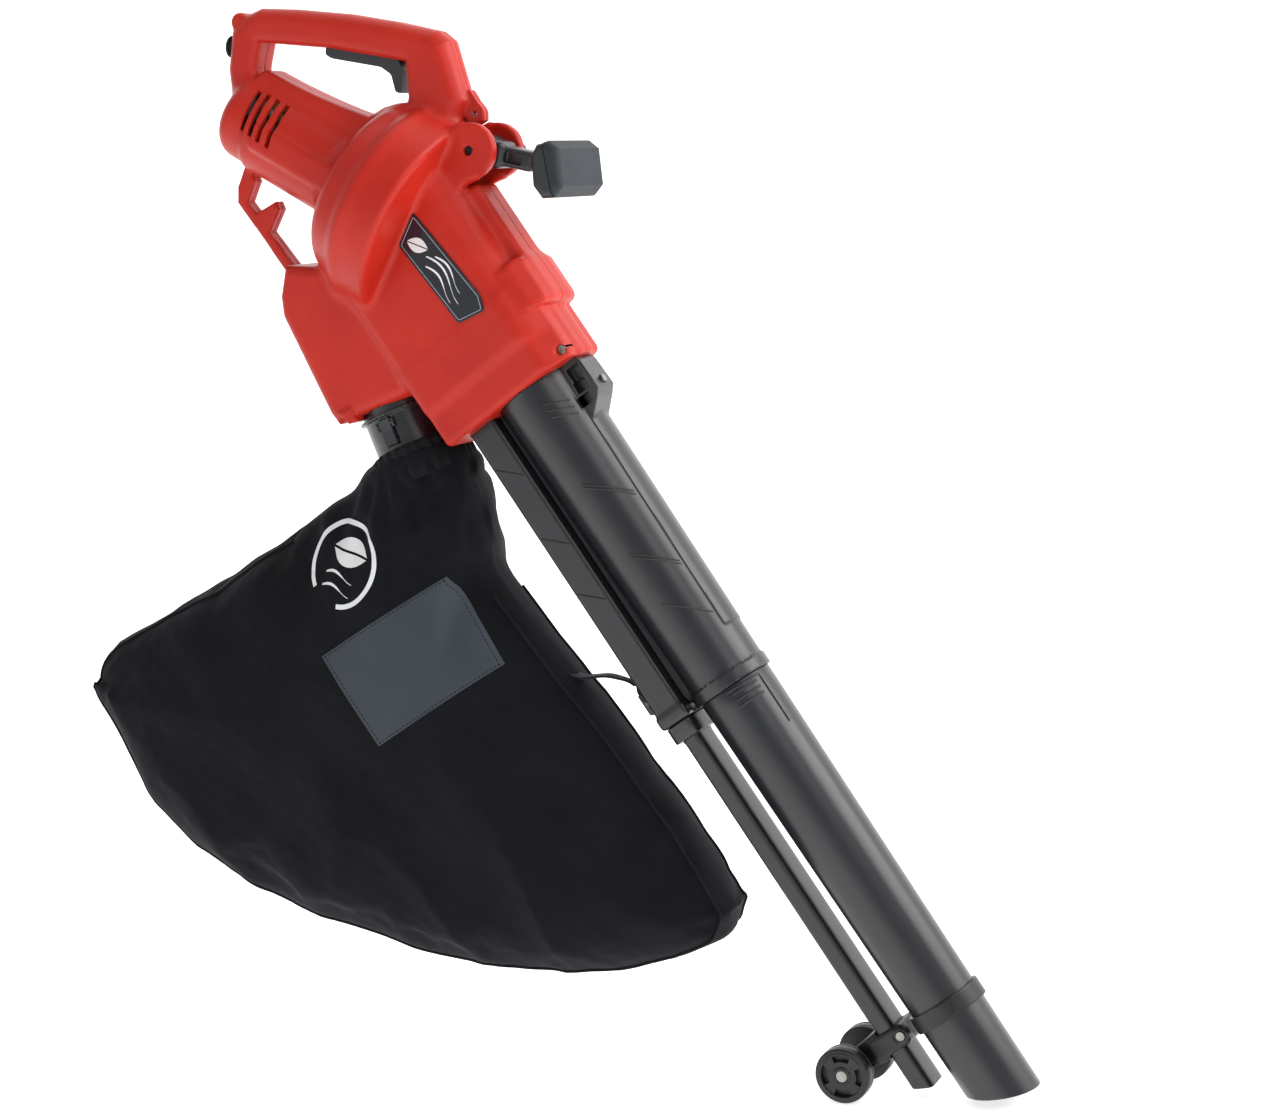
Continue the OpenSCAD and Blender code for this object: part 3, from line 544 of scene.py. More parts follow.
def makeBracket():
    s = bracketStyle
    ring = onAxis(drum(0, s["ring"], s["from"], s["to"], 0.9))
    wrap = box((878, -20.5, -180), (898, 20.5, -140), 4)
    leg = shared(2, flat([[874, -166], [880, -213], [897, -215], [902, -166]], -21, 21, 3),
                 mirrored(plane((0, 17.5, -166), (0, 1, 0.09))))
    boss = placed(drum(1, 8.5, -21, 21, 1.5), axle)
    screwBoss = placed(drum(1, 6.5, -22, -10, 1), s["screw"])
    body = merge(3, ring, wrap, leg, boss, screwBoss)
    tools = [
        box((868, -12, -215), (910, 12, -182), 2),
        onAxis(drum(0, s["ring"] - 3, 870, 910)),
        box((870, -17.3, -167.8), (910, 17.3, -148.2), 4),
        placed(drum(1, s["axleHole"], -40, 40), axle), placed(drum(1, 4.3, -40, -20.6), s["screw"]),
        mirrored(box((875, 18.6, -200), (905, 30, -184), 2))]
    return moulded("wheel_bracket_moulding", cut(0.8, body, *tools), (868, -38, -222),
                   (908, 38, -62), s["step"])


# Wheels: a ribbed tyre round a dished, slotted disc.
wheelStyle = {"step": 0.9, "radius": 25, "width": 18, "gap": 44, "slots": 4, "slotTurn": 0.23, "bore": 3.1}


def makeWheel(side):
    s = wheelStyle
    y0, y1 = s["gap"] / 2, s["gap"] / 2 + s["width"]
    r = s["radius"]

    def slots(x, y, z):
        angle = np.arctan2(z, x)
        step = 2 * math.pi / s["slots"]
        arc = (abs((angle - s["slotTurn"]) % step - step / 2) - step * 0.3) * r * 0.62
        return np.maximum(np.maximum(arc, abs(length(x, z) - r * 0.64) - r * 0.11), y1 - 6 - y)

    tyre = merge(1, drum(1, r, y0 + 0.6, y1 - 0.6, 2.2), drum(1, r - 4, y0, y1, 0.8))
    dish = drum(1, r - 6, y1 - 1.4, y1 + 5, 0.6)
    hub = drum(1, 8, y1 - 6, y1 - 0.2, 0.8)
    body = merge(0.8, cut(0.8, tyre, dish), hub)

    def tread(x, y, z):
        return abs(abs(y - (y0 + y1) / 2) - 4) - 0.5 + np.maximum(r - 0.8 - length(x, z), 0)
    body = cut(0.6, body, slots, tread, drum(1, s["bore"], 0, 60), drum(1, 5.6, y1 - 3, y1 + 2))
    place = placed(lambda x, y, z: body(x, side * y, z), axle)
    lo, hi = (y0, y1) if side > 0 else (-y1, -y0)
    name = "far_wheel_moulding" if side > 0 else "near_wheel_moulding"
    x, reach, z = axle[0], r + 1, axle[2]
    return moulded(name, place, (x - reach, lo, z - reach), (x + reach, hi, z + reach), s["step"])


# Front grip: an arm from the clevis to a bar in two colours.
gripStyle = {"step": 1.1, "half": 46, "armTilt": 42, "barTurn": 70, "reach": 84, "boltHole": 4.1}
barTilt = math.radians(gripStyle["armTilt"] - gripStyle["barTurn"])
armTilt = math.radians(gripStyle["armTilt"])
barPlace = pivot + gripStyle["reach"] * np.array([math.cos(armTilt), 0, math.sin(armTilt)])
barOutline = [[-23, -6], [-14, -13], [12, -15], [24, -8], [25, 3], [16, 13], [-16, 14], [-24, 6]]


def makeFrontGrip():
    s = gripStyle
    half = s["half"]
    arm = placed(merge(
        4, drum(1, 14, -21.6, 21.6, 1.5), box((-4, -15, -12), (24, 15, 12), 4),
        box((14, -12, -9), (54, 12, 9), 4), box((40, -9.5, -6), (86, 9.5, 6), 2)), pivot, armTilt)
    slots = placed(mirrored(box((26, 7, -5), (44, 20, 5), 2)), pivot, armTilt)
    arm = cut(0.8, arm, placed(drum(1, s["boltHole"], -60, 60), pivot), slots)
    armPiece = moulded("front_grip_arm", arm, (8, -24, -32), (102, 24, 54), s["step"])
    form = flat(barOutline, -half, half, 6)
    lower = shared(0.8, form, plane((0, 0, 1.6), (-0.05, 0, 1)))
    upper = shared(1.2, lambda x, y, z: form(x, y, z) - 0.5, plane((0, 0, 2.0), (0.05, 0, -1)))
    limits = (56, -48, 8), (120, 48, 66)
    base = moulded("front_grip_base", placed(lower, barPlace, barTilt), *limits, s["step"])
    pad = moulded("front_grip_pad", placed(upper, barPlace, barTilt), *limits, s["step"])
    return armPiece, base, pad


# Bag adaptor: a short ribbed pipe that plugs into the outlet.
adaptorStyle = {"step": 1.15, "radius": 36, "bore": 33.5, "flange": 40, "grooves": (46, 51),
                "grooveWide": 1.6}


def makeAdaptor():
    s = adaptorStyle
    pipe = drum(0, s["radius"], -17, 62, 0.8)
    flange = drum(0, s["flange"], 3.3, 6, 0.8)
    core = drum(0, s["radius"] - 1, -100, 100)
    grooves = [cut(0.1, drum(0, 50, x, x + s["grooveWide"]), core) for x in s["grooves"]]
    ears = mirroredZ(box((10, -39.2, 7), (18, -34, 10), 0.6))
    body = merge(0.8, merge(1, cut(0.5, pipe, *grooves), flange), ears)
    tools = [drum(0, s["bore"], -18, 63), box((8, -44, -7), (34, -34.4, 7), 0.5)]
    field = placed(cut(0.5, body, *tools), outlet, outletTilt)
    return moulded("bag_adaptor_moulding", field, (136, -42, -284), (234, 42, -184), s["step"])


# Materials. Colours are sRGB hex values, and pattern sizes are millimetres.


def linear(code):
    parts = [int(code[i:i + 2], 16) / 255 for i in (1, 3, 5)]
    return tuple(c / 12.92 if c <= 0.04045 else ((c + 0.055) / 1.055) ** 2.4 for c in parts) + (1.0,)


def addNode(tree, kind, inputs=None, stops=(), **settings):  # stops: a ramp's places and shades
    made = tree.nodes.new(kind)
    for name, value in settings.items():
        setattr(made, name, value)
    for name, value in (inputs or {}).items():
        socket = made.inputs[name]
        if isinstance(value, bpy.types.NodeSocket):
            tree.links.new(value, socket)
        else:
            socket.default_value = value
    for number, (place, shade) in enumerate(stops):
        element = made.color_ramp.elements[number]
        element.position = place
        element.color = linear(shade) if isinstance(shade, str) else (shade, shade, shade, 1)
    return made


def perMetre(sizeMm):  # the scale at which a noise has patches of about sizeMm
    return 1000.0 / sizeMm


def wavesPerMetre(sizeMm):  # the scale at which a wave repeats every sizeMm
    return perMetre(sizeMm) * math.pi / 10


def startMaterial(name, **values):
    mat = bpy.data.materials.new(name)
    mat.use_nodes = True
    tree = mat.node_tree
    shader = next(n for n in tree.nodes if n.type == "BSDF_PRINCIPLED")
    for socket, value in values.items():
        shader.inputs[socket.replace("_", " ")].default_value = value
    where = addNode(tree, "ShaderNodeTexCoord").outputs["Object"]
    return mat, tree, shader, where


def joined(tree, shader, **outputs):  # links outputs to the shader's sockets
    for socket, output in outputs.items():
        tree.links.new(output, shader.inputs[socket.replace("_", " ")])


def clouded(tree, where, sizeMm, low, high, span=(0.35, 0.65), detail=3.0, rough=0.55):
    # soft patches that run between two colours or two values
    patches = addNode(tree, "ShaderNodeTexNoise", {
        "Vector": where, "Scale": perMetre(sizeMm), "Detail": detail, "Roughness": rough})
    shades = addNode(tree, "ShaderNodeValToRGB", {"Fac": patches.outputs["Fac"]},
                     ((span[0], low), (span[1], high)))
    return shades.outputs["Color"]


def mouldedPlastic(name, shade, deep, roughness, scuff, grainMm, grainDepthMm, **values):
    mat, tree, shader, where = startMaterial(name, IOR=1.5, **values)
    streaks = addNode(tree, "ShaderNodeMapping", {
        "Vector": where, "Rotation": (0.3, 1.0, 0.2), "Scale": (1, 9, 2)})
    grain = addNode(tree, "ShaderNodeTexNoise", {
        "Vector": where, "Scale": perMetre(grainMm), "Detail": 2.0, "Roughness": 0.55})
    relief = addNode(tree, "ShaderNodeBump", {
        "Height": grain.outputs["Fac"], "Distance": grainDepthMm * 0.001, "Strength": 0.6})
    joined(tree, shader, Base_Color=clouded(tree, where, 60, deep, shade, (0.3, 0.7), 4.0),
           Roughness=clouded(tree, streaks.outputs["Vector"], 34, roughness, scuff, (0.45, 0.8), 5.0, 0.7),
           Normal=relief.outputs["Normal"])
    return mat


def metal(name, shade, deep, roughness, lineMm, stretch=(1, 1, 14)):
    mat, tree, shader, where = startMaterial(name, Metallic=1.0)
    turned = addNode(tree, "ShaderNodeMapping", {"Vector": where, "Scale": stretch}).outputs["Vector"]
    lines = addNode(tree, "ShaderNodeTexNoise", {
        "Vector": turned, "Scale": perMetre(lineMm), "Detail": 3.0, "Roughness": 0.6})
    relief = addNode(tree, "ShaderNodeBump", {
        "Height": lines.outputs["Fac"], "Distance": 0.01 * 0.001, "Strength": 0.4})
    joined(tree, shader, Base_Color=clouded(tree, where, 9, deep, shade),
           Roughness=clouded(tree, turned, lineMm, roughness, roughness + 0.18, rough=0.6),
           Normal=relief.outputs["Normal"])
    return mat


def woven(name, shade, deep, repeatMm, depthMm, sheen, roughness=0.9):
    # real threads are 0.3 to 1 mm and too fine to show, so the weave is drawn much coarser
    mat, tree, shader, where = startMaterial(
        name, Roughness=roughness, Sheen_Weight=sheen, Sheen_Roughness=0.5,
        Sheen_Tint=linear("#6A7078"), Specular_IOR_Level=0.2)
    leaning = addNode(tree, "ShaderNodeMapping", {"Vector": where, "Rotation": (0, lean, 0)})
    warp, weft = [addNode(tree, "ShaderNodeTexWave", {
        "Vector": leaning.outputs["Vector"], "Scale": wavesPerMetre(repeatMm), "Distortion": 0.4,
        "Detail": 1.0}, bands_direction=way).outputs["Fac"] for way in "XZ"]
    cross = addNode(tree, "ShaderNodeMath", {0: warp, 1: weft}, operation="MULTIPLY")
    threads = addNode(tree, "ShaderNodeBump", {
        "Height": cross.outputs["Value"], "Distance": depthMm * 0.001, "Strength": 0.8})
    rumples = addNode(tree, "ShaderNodeTexNoise", {
        "Vector": where, "Scale": perMetre(14), "Detail": 4.0, "Roughness": 0.6})
    relief = addNode(tree, "ShaderNodeBump", {
        "Height": rumples.outputs["Fac"], "Distance": 0.5 * 0.001, "Strength": 0.35,
        "Normal": threads.outputs["Normal"]})
    joined(tree, shader, Base_Color=clouded(tree, where, 90, deep, shade, (0.35, 0.7), 5.0, 0.6),
           Normal=relief.outputs["Normal"])
    return mat


def banded(name, low, high, repeatMm, depthMm, strength, tilt, way, wobble, **values):
    # stacked sheets or wound wire, drawn coarser than the real 0.5 mm so that it shows
    mat, tree, shader, where = startMaterial(name, **values)
    turned = addNode(tree, "ShaderNodeMapping", {"Vector": where, "Rotation": (0, tilt, 0)})
    bands = addNode(tree, "ShaderNodeTexWave", {
        "Vector": turned.outputs["Vector"], "Scale": wavesPerMetre(repeatMm), "Distortion": wobble},
        bands_direction=way).outputs["Fac"]
    shades = addNode(tree, "ShaderNodeValToRGB", {"Fac": bands}, ((0.35, low), (0.65, high)))
    relief = addNode(tree, "ShaderNodeBump", {
        "Height": bands, "Distance": depthMm * 0.001, "Strength": strength})
    joined(tree, shader, Base_Color=shades.outputs["Color"], Normal=relief.outputs["Normal"])
    return mat


finishes = {
    # injection moulded ABS: a satin skin with broad soft highlights, streaked dull where handled
    "housing": mouldedPlastic("red_abs_moulded", "#BF2819", "#B22215", 0.38, 0.48, 0.8, 0.02,
                              Specular_IOR_Level=0.3),
    # blow moulded polypropylene: waxy and even, with one long blurred shine down each tube
    "tube": mouldedPlastic("black_polypropylene_moulded", "#17191E", "#131418", 0.32, 0.4, 3, 0.008,
                           Coat_Weight=0.35, Coat_Roughness=0.32),
    # moulded polyethylene: greasy black that scuffs grey on the tread
    "wheel": mouldedPlastic("black_polyethylene_moulded", "#17181B", "#111215", 0.36, 0.55, 0.9, 0.05),
    # spark-eroded moulds leave this grey ABS a fine even grain
    "dark": mouldedPlastic("grey_abs_moulded", "#303338", "#282B2F", 0.4, 0.5, 0.7, 0.03),
    # soft rubber moulded over the grip: matt, with hardly a highlight
    "pad": mouldedPlastic("grey_soft_grip", "#2E3237", "#282C31", 0.55, 0.65, 0.5, 0.06,
                          Specular_IOR_Level=0.25),
    # hard plastic under the pad: darker and glossier than it
    "grip": mouldedPlastic("dark_grip_moulded", "#26292D", "#1E2024", 0.32, 0.45, 0.8, 0.03),
    # nylon, polished by fingers on its crown
    "trigger": mouldedPlastic("trigger_pa_moulded", "#2E3135", "#26292D", 0.38, 0.5, 0.6, 0.04),
    # pressed rubber: dull and slightly dusty
    "rubber": mouldedPlastic("cord_gland_rubber", "#1B1C1E", "#141517", 0.7, 0.8, 0.5, 0.08),
    # glass fibre at the surface makes the nylon cloudy and rough
    "impeller": mouldedPlastic("glass_filled_nylon", "#4A4D52", "#3E4146", 0.55, 0.65, 0.6, 0.08),
    # polycarbonate film printed from behind: deep colour under a clear gloss
    "label": mouldedPlastic("polycarbonate_label", "#171C26", "#12161E", 0.16, 0.24, 3, 0.01,
                            Coat_Weight=0.4),
    # screen printed lines: flat and even
    "line": mouldedPlastic("label_print_grey", "#9AA3AE", "#8B949F", 0.3, 0.4, 2, 0.01),
    # thick ink pressed into cloth: chalky, a little uneven
    "print": mouldedPlastic("white_print_ink", "#E9EBEC", "#DADDDF", 0.6, 0.7, 0.8, 0.06),
    # calendered vinyl: smooth, with a wide dull shine
    "patch": mouldedPlastic("slate_vinyl_window", "#2F3640", "#2B323B", 0.62, 0.7, 6, 0.03),
    # zinc plating: pale, cool, faintly drawn lines
    "steel": metal("zinc_plated_steel", "#A3A29C", "#85847F", 0.28, 1.5),
    # oil blackened steel: dark with a metal's tight highlight
    "black steel": metal("blackened_steel", "#3A3C40", "#232528", 0.35, 1.5),
    # die casting: grey, grainy, no direction
    "alloy": metal("die_cast_aluminium", "#9A9EA3", "#83878C", 0.5, 4, (1, 1, 1)),
    # pressed sheet brass: warm, slightly tarnished
    "brass": metal("brass_pressing", "#B0914F", "#94773C", 0.34, 2),
    # turned on a lathe, so it shines in fine rings
    "commutator": metal("turned_copper", "#C07B45", "#A5622F", 0.25, 1.2),
    # thin steel sheets stacked along the motor's axis show as fine dark bands
    "lamination": banded("stacked_silicon_steel", "#4A4E54", "#8C9096", 7.54, 0.15, 0.6,
                         lean - motorTilt, "X", 0.0, Metallic=1.0, Roughness=0.45),
    # enamelled wire wound round the poles: glossy strands, with painted shade in the grooves between them
    "copper": banded("enamelled_copper_wire_groove_shade", "#6B2F14", "#B8683A", 6.283, 0.3, 0.7, 0.0, "Y", 1.5,
                     Metallic=0.9, Roughness=0.3, Coat_Weight=0.5),
    # plain woven polyester: deep matt black that greys a little at grazing angles; drawn at 19 mm
    "cloth": woven("black_polyester_weave", "#101117", "#090A0E", 18.85, 0.5, 0.1),
    # folded binding tape: tighter and a shade lighter than the cloth; drawn at 7.5 mm
    "trim": woven("black_binding_tape", "#15161A", "#0E0F12", 7.54, 0.3, 0.1, 0.8),
    # heavy nylon webbing: coarse ribs with a soft sheen; drawn at 11 mm
    "webbing": woven("black_nylon_webbing", "#1D1E22", "#151619", 11.31, 0.45, 0.3, 0.75)}
print("materials made:", len(finishes))


def finished(obj, finish):
    obj.data.materials.clear()
    obj.data.materials.append(finishes[finish])
    return obj


def putOn(piece, finish, body, slot, *replaced):
    finished(piece, finish)
    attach(piece, body)
    if replaced:
        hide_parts(*replaced)


nodeFinishes = {
    "steel": "housing_screws trigger_pin trigger_spring front_bearing rear_bearing rotor_shaft "
             "impeller_nut flap_shaft tube_screw joint_screw bracket_screw wheel_axle axle_screws "
             "latch_pin latch_spring",
    "dark": "switch_body cooling_fan inlet_ring mode_flap mode_knob handle_knob",
    # pivot_bolt is blackened so that its end in the clevis shows as dark as the shaded recess round it:
    # painted shade
    "black steel": "pivot_bolt snap_hook hook_gate",
    "alloy": "motor_plate motor_end_bracket", "trigger": "trigger bag_latch",
    "lamination": "stator", "copper": "field_coils armature", "commutator": "commutator",
    "brass": "brush_holders", "impeller": "impeller", "rubber": "cord_gland"}
for finish, nodeNames in nodeFinishes.items():
    for nodeName in nodeNames.split():
        finished(frame["nodes"][nodeName], finish)
print("inner parts finished")


# Geometry Nodes: one tree sweeps a round section along paths, one sets stitches along them.
def startTree(name, sizes):
    tree = bpy.data.node_groups.new(name, "GeometryNodeTree")
    sockets = [("Paths", "Geometry")] + [(size, "Float") for size in sizes] + [("Finish", "Material")]
    for label, kind in sockets:
        tree.interface.new_socket(name=label, in_out="INPUT", socket_type="NodeSocket" + kind)
    tree.interface.new_socket(name="Geometry", in_out="OUTPUT", socket_type="NodeSocketGeometry")
    given = tree.nodes.new("NodeGroupInput").outputs
    curve = addNode(tree, "GeometryNodeMeshToCurve", {"Mesh": given["Paths"]}).outputs["Curve"]
    return tree, given, curve


def endTree(tree, given, shape):
    real = addNode(tree, "GeometryNodeRealizeInstances", {"Geometry": shape})
    coated = addNode(tree, "GeometryNodeSetMaterial", {
        "Geometry": real.outputs["Geometry"], "Material": given["Finish"]})
    addNode(tree, "NodeGroupOutput", {"Geometry": coated.outputs["Geometry"]})
    return tree


def sweptTree():
    tree, given, curve = startTree("swept path", ["Radius"])
    section = addNode(tree, "GeometryNodeCurvePrimitiveCircle", {
        "Resolution": 10, "Radius": given["Radius"]})
    tube = addNode(tree, "GeometryNodeCurveToMesh", {
        "Curve": curve, "Profile Curve": section.outputs["Curve"], "Fill Caps": True})
    smooth = addNode(tree, "GeometryNodeSetShadeSmooth", {"Geometry": tube.outputs["Mesh"]})
    return endTree(tree, given, smooth.outputs["Geometry"])


def stitchTree():
    tree, given, curve = startTree("stitched path", ["Spacing", "Length", "Thickness"])
    points = addNode(tree, "GeometryNodeCurveToPoints", {
        "Curve": curve, "Length": given["Spacing"]}, mode="LENGTH")
    size = addNode(tree, "ShaderNodeCombineXYZ", {
        "X": given["Thickness"], "Y": given["Thickness"], "Z": given["Length"]})
    bead = addNode(tree, "GeometryNodeMeshUVSphere", {"Segments": 6, "Rings": 4, "Radius": 0.5})
    turn = addNode(tree, "FunctionNodeRandomValue", {"Seed": 11}, data_type="FLOAT_VECTOR")
    for number, limit in enumerate((-0.12, 0.12)):     # radians that a stitch may lie askew
        turn.inputs[number].default_value = (limit, limit, limit)
    skew = addNode(tree, "FunctionNodeEulerToRotation", {"Euler": turn.outputs[0]})
    both = addNode(tree, "FunctionNodeRotateRotation", {
        "Rotation": points.outputs["Rotation"], "Rotate By": skew.outputs["Rotation"]})
    beads = addNode(tree, "GeometryNodeInstanceOnPoints", {
        "Points": points.outputs["Points"], "Instance": bead.outputs["Mesh"],
        "Rotation": both.outputs["Rotation"], "Scale": size.outputs["Vector"]})
    return endTree(tree, given, beads.outputs["Instances"])


trees = {"swept": sweptTree(), "stitched": stitchTree()}


def settled(obj):  # the evaluated mesh as a plain piece of the same name
    bpy.context.view_layer.update()
    mesh = bpy.data.meshes.new_from_object(obj.evaluated_get(bpy.context.evaluated_depsgraph_get()))
    name = obj.name
    bpy.data.objects.remove(obj)
    mesh.name = name
    made = bpy.data.objects.new(name, mesh)
    bpy.context.collection.objects.link(made)
    made.name = name
    return made


def fromPaths(name, kind, paths, finish, inTool=True, **sizes):  # paths are lists of points
    verts, edges = [], []
    for path in paths:
        points = np.array(path, float)
        points = points @ toolToRow.T if inTool else points
        edges += [(len(verts) + i, len(verts) + i + 1) for i in range(len(points) - 1)]
        verts += [tuple(p) for p in points]
    mesh = bpy.data.meshes.new(name)
    mesh.from_pydata(verts, edges, [])
    obj = bpy.data.objects.new(name, mesh)
    bpy.context.collection.objects.link(obj)
    modifier = obj.modifiers.new("paths", "NODES")
    modifier.node_group = trees[kind]
    for item in trees[kind].interface.items_tree:
        if item.in_out == "INPUT" and item.name in sizes:
            modifier[item.identifier] = sizes[item.name] * 0.001
        if item.in_out == "INPUT" and item.name == "Finish":
            modifier[item.identifier] = finishes[finish]
    made = settled(obj)
    print("made", name, len(made.data.polygons), "faces")
    return made


# Tube details: slanted grip ribs beside the keel, short ones on the blow channel, flow rings below
# the housing's mouth, and the joint's window.
ribStyle = {"radius": 0.8, "from": math.radians(33), "to": math.radians(88), "slant": 30,
            "places": (361, 364.5, 435, 438.5, 489), "channelPlaces": (271, 346, 406),
            "flowAt": 262, "flowPitch": 7, "windowRadius": 1.1, "windowLines": (560, 566, 572)}


def onTube(x, r, angle):  # a point on the tube's skin, angle from its front towards the label side
    return (x, -r * math.sin(angle), -axisDrop + r * math.cos(angle))


def makeTubeRibs():
    s = ribStyle
    paths = []
    for place in s["places"]:
        path = []
        for t in np.linspace(0, 1, 14):
            x = place - s["slant"] * t
            path.append(onTube(x, tubeRadius(x) + 0.1, s["from"] + t * (s["to"] - s["from"])))
        paths += [path, [(x, -y, z) for x, y, z in path]]
    for place in s["channelPlaces"]:
        path = [(place + 9 * step, -24.1, -169 + 10 * step) for step in range(3)]
        paths += [path, [(x, -y, z) for x, y, z in path]]
    for turn in range(3):
        path = []
        for t in np.linspace(0, 1, 12):
            x = s["flowAt"] + s["flowPitch"] * turn - 9 * t
            path.append(onTube(x, tubeRadius(x) - 0.1, math.radians(38 + 34 * t)))
        paths.append(path)
    return fromPaths("tube_ribs", "swept", paths, "tube", Radius=s["radius"])


def makeJointWindow():
    def onLower(x, degrees):
        return onTube(x, lowerRadius(x) + 0.2, math.radians(degrees))
    edge = [onLower(556, d) for d in np.linspace(82, 24, 12)]
    paths = [edge + [onLower(x, 24) for x in np.linspace(562, 606, 8)]]
    paths += [[onLower(x, d) for d in np.linspace(76, 34, 10)] for x in ribStyle["windowLines"]]
    return fromPaths("joint_window_ribs", "swept", paths, "tube", Radius=ribStyle["windowRadius"])


# Label: a plate with a thin printed edge, a plain leaf and three lines for moving air.
labelStyle = {
    "outline": [[45, -84], [60, -114], [150, -107], [156, -79], [142, -74]], "ease": 3,
    "front": -49.7, "back": -48.05, "bevel": 0.3, "lineInset": 2.4, "lineRadius": 0.35,
    "leaf": (71, -98, 22), "gusts": (110, -94, 52), "gustPitch": 6.5, "printThick": 0.12}


def directions(points, i):  # unit directions into and out of a corner
    p = points[i]
    e, f = p - points[i - 1], points[(i + 1) % len(points)] - p
    return p, e / np.linalg.norm(e), f / np.linalg.norm(f)


def eased(points, size, steps=5):  # an outline with rounded corners
    points = np.array(points, float)
    out = []
    for i in range(len(points)):
        p, e, f = directions(points, i)
        for s in np.linspace(0, 1, steps):
            out.append((1 - s) ** 2 * (p - size * e) + 2 * s * (1 - s) * p + s * s * (p + size * f))
    return np.array(out)


def shrunk(points, d):  # an outline moved in by d
    points = np.array(points, float)
    centre = points.mean(0)
    out = []
    for i in range(len(points)):
        p, e, f = directions(points, i)
        ne, nf = np.array([-e[1], e[0]]), np.array([-f[1], f[0]])
        if ne @ (centre - p) < 0:
            ne, nf = -ne, -nf
        out.append(p + d * (ne + nf) / (1 + ne @ nf))
    return np.array(out)


def outwards(obj):  # faces turned to point out
    bm = bmesh.new()
    bm.from_mesh(obj.data)
    bmesh.ops.recalc_face_normals(bm, faces=bm.faces)
    bm.to_mesh(obj.data)
    bm.free()
    return obj


def slab(name, outline, y0, y1, bevel):
    verts, n = [], len(outline)
    for ring, y in ((outline, y1), (outline, y0 + bevel), (shrunk(outline, bevel), y0)):
        verts += [(x, y, z) for x, z in ring]
    faces = [list(range(n)), list(range(2 * n, 3 * n))[::-1]]
    for level in range(2):
        for i in range(n):
            j = (i + 1) % n
            faces.append([(level + up) * n + k for up, k in ((1, i), (1, j), (0, j), (0, i))])
    return outwards(meshObject(name, np.array(verts) @ toolToRow.T, faces, 30))


def leafGrid(cx, cz, size, turn, half, rows=18, cols=4):
    # one half of a pointed leaf, on one side of its midrib
    c, s = math.cos(turn), math.sin(turn)
    rib = 0.025 * size
    grid = []
    for t in np.linspace(0, 1, rows):
        a = (t - 0.5) * size
        wide = max(0.3 * size * math.sin(math.pi * t) ** 0.8, rib)
        row = [half * (rib + (wide - rib) * j / (cols - 1)) for j in range(cols)]
        grid.append([(cx + a * c - b * s, cz + a * s + b * c) for b in row])
    return np.array(grid)


def gustGrid(cx, cz, size, turn, offset, width, rows=20):  # a wavy line that thins at its ends
    c, s = math.cos(turn), math.sin(turn)
    grid = []
    for t in np.linspace(0, 1, rows):
        a = (t - 0.5) * size
        b = offset + 0.1 * size * math.sin(t * math.pi * 1.5)
        w = width * math.sin(math.pi * min(1, t * 1.2 + 0.15)) ** 0.5 / 2 if t < 0.99 else 0
        w = max(w, width * 0.12)
        grid.append([(cx + a * c - (b + k * w) * s, cz + a * s + (b + k * w) * c) for k in (-1, 0, 1)])
    return np.array(grid)


def skin(name, grids, height, thick):
    # thin sheets over height(x, z), which gives y in the tool frame
    verts, faces = [], []
    for grid in grids:
        rows, cols = grid.shape[:2]
        base, top = len(verts), len(verts) + rows * cols
        under = [(x, height(x, z), z) for x, z in grid.reshape(-1, 2)]
        verts += under + [(x, y - thick, z) for x, y, z in under]
        for i in range(rows - 1):
            for j in range(cols - 1):
                quad = [i * cols + j, i * cols + j + 1, (i + 1) * cols + j + 1, (i + 1) * cols + j]
                faces += [[base + k for k in quad[::-1]], [top + k for k in quad]]
        rim = [(i, 0) for i in range(rows)] + [(rows - 1, j) for j in range(1, cols)]
        rim += [(i, cols - 1) for i in range(rows - 2, -1, -1)] + [(0, j) for j in range(cols - 2, 0, -1)]
        for a, b in zip(rim, rim[1:] + rim[:1]):
            p, q = a[0] * cols + a[1], b[0] * cols + b[1]
            faces.append([base + p, base + q, top + q, top + p])
    return outwards(meshObject(name, np.array(verts) @ toolToRow.T, faces))


def makeLabel():
    s = labelStyle
    plate = slab("label_plate_face", eased(s["outline"], s["ease"]), s["front"], s["back"], s["bevel"])
    line = [(x, s["front"] - 0.05, z) for x, z in eased(shrunk(s["outline"], s["lineInset"]), 2)]
    edge = fromPaths("label_edge_line", "swept", [line + line[:1]], "line", Radius=s["lineRadius"])
    turn = math.atan2(10, 94)
    marks = [leafGrid(*s["leaf"], turn + 0.5, half) for half in (1, -1)]
    x, z, long = s["gusts"]
    marks += [gustGrid(x, z, long - 12 * abs(k), turn, s["gustPitch"] * k, 2.0) for k in (-1, 0, 1)]
    mark = skin("label_leaf_mark", marks, lambda x, z: s["front"] - 0.02, s["printThick"])
    return plate, edge, mark


# Bag: polyester cloth, filled with air, held by its collar and by a strap.
bagStyle = {
    "step": 8.0, "gusset": 32, "belly": 46, "pressure": 3.0, "growth": 0.035, "cap": 14.0,
    "frames": 20, "mass": 0.15, "stretch": 25, "shear": 12, "bending": 0.15, "neckRadius": 50,
    "heldTo": 66, "fan": 2.8, "ridge": 3.6, "fine": 1.8}
bagOutline = [
    [205, -275], [196, -335], [194, -400], [188, -480], [176, -575], [172, -622], [188, -676],
    [252, -682], [319, -690], [383, -683], [452, -655], [519, -602], [594, -534], [651, -469],
    [700, -393], [722, -340], [736, -281], [739, -238], [722, -212], [674, -208], [602, -206],
    [536, -208], [478, -213], [412, -218], [353, -223], [290, -222], [250, -214]]
windowCorners = [[318, -395], [326, -253], [421, -254], [417, -393]]
outletAxis = np.array([math.cos(outletTilt), 0, math.sin(outletTilt)])


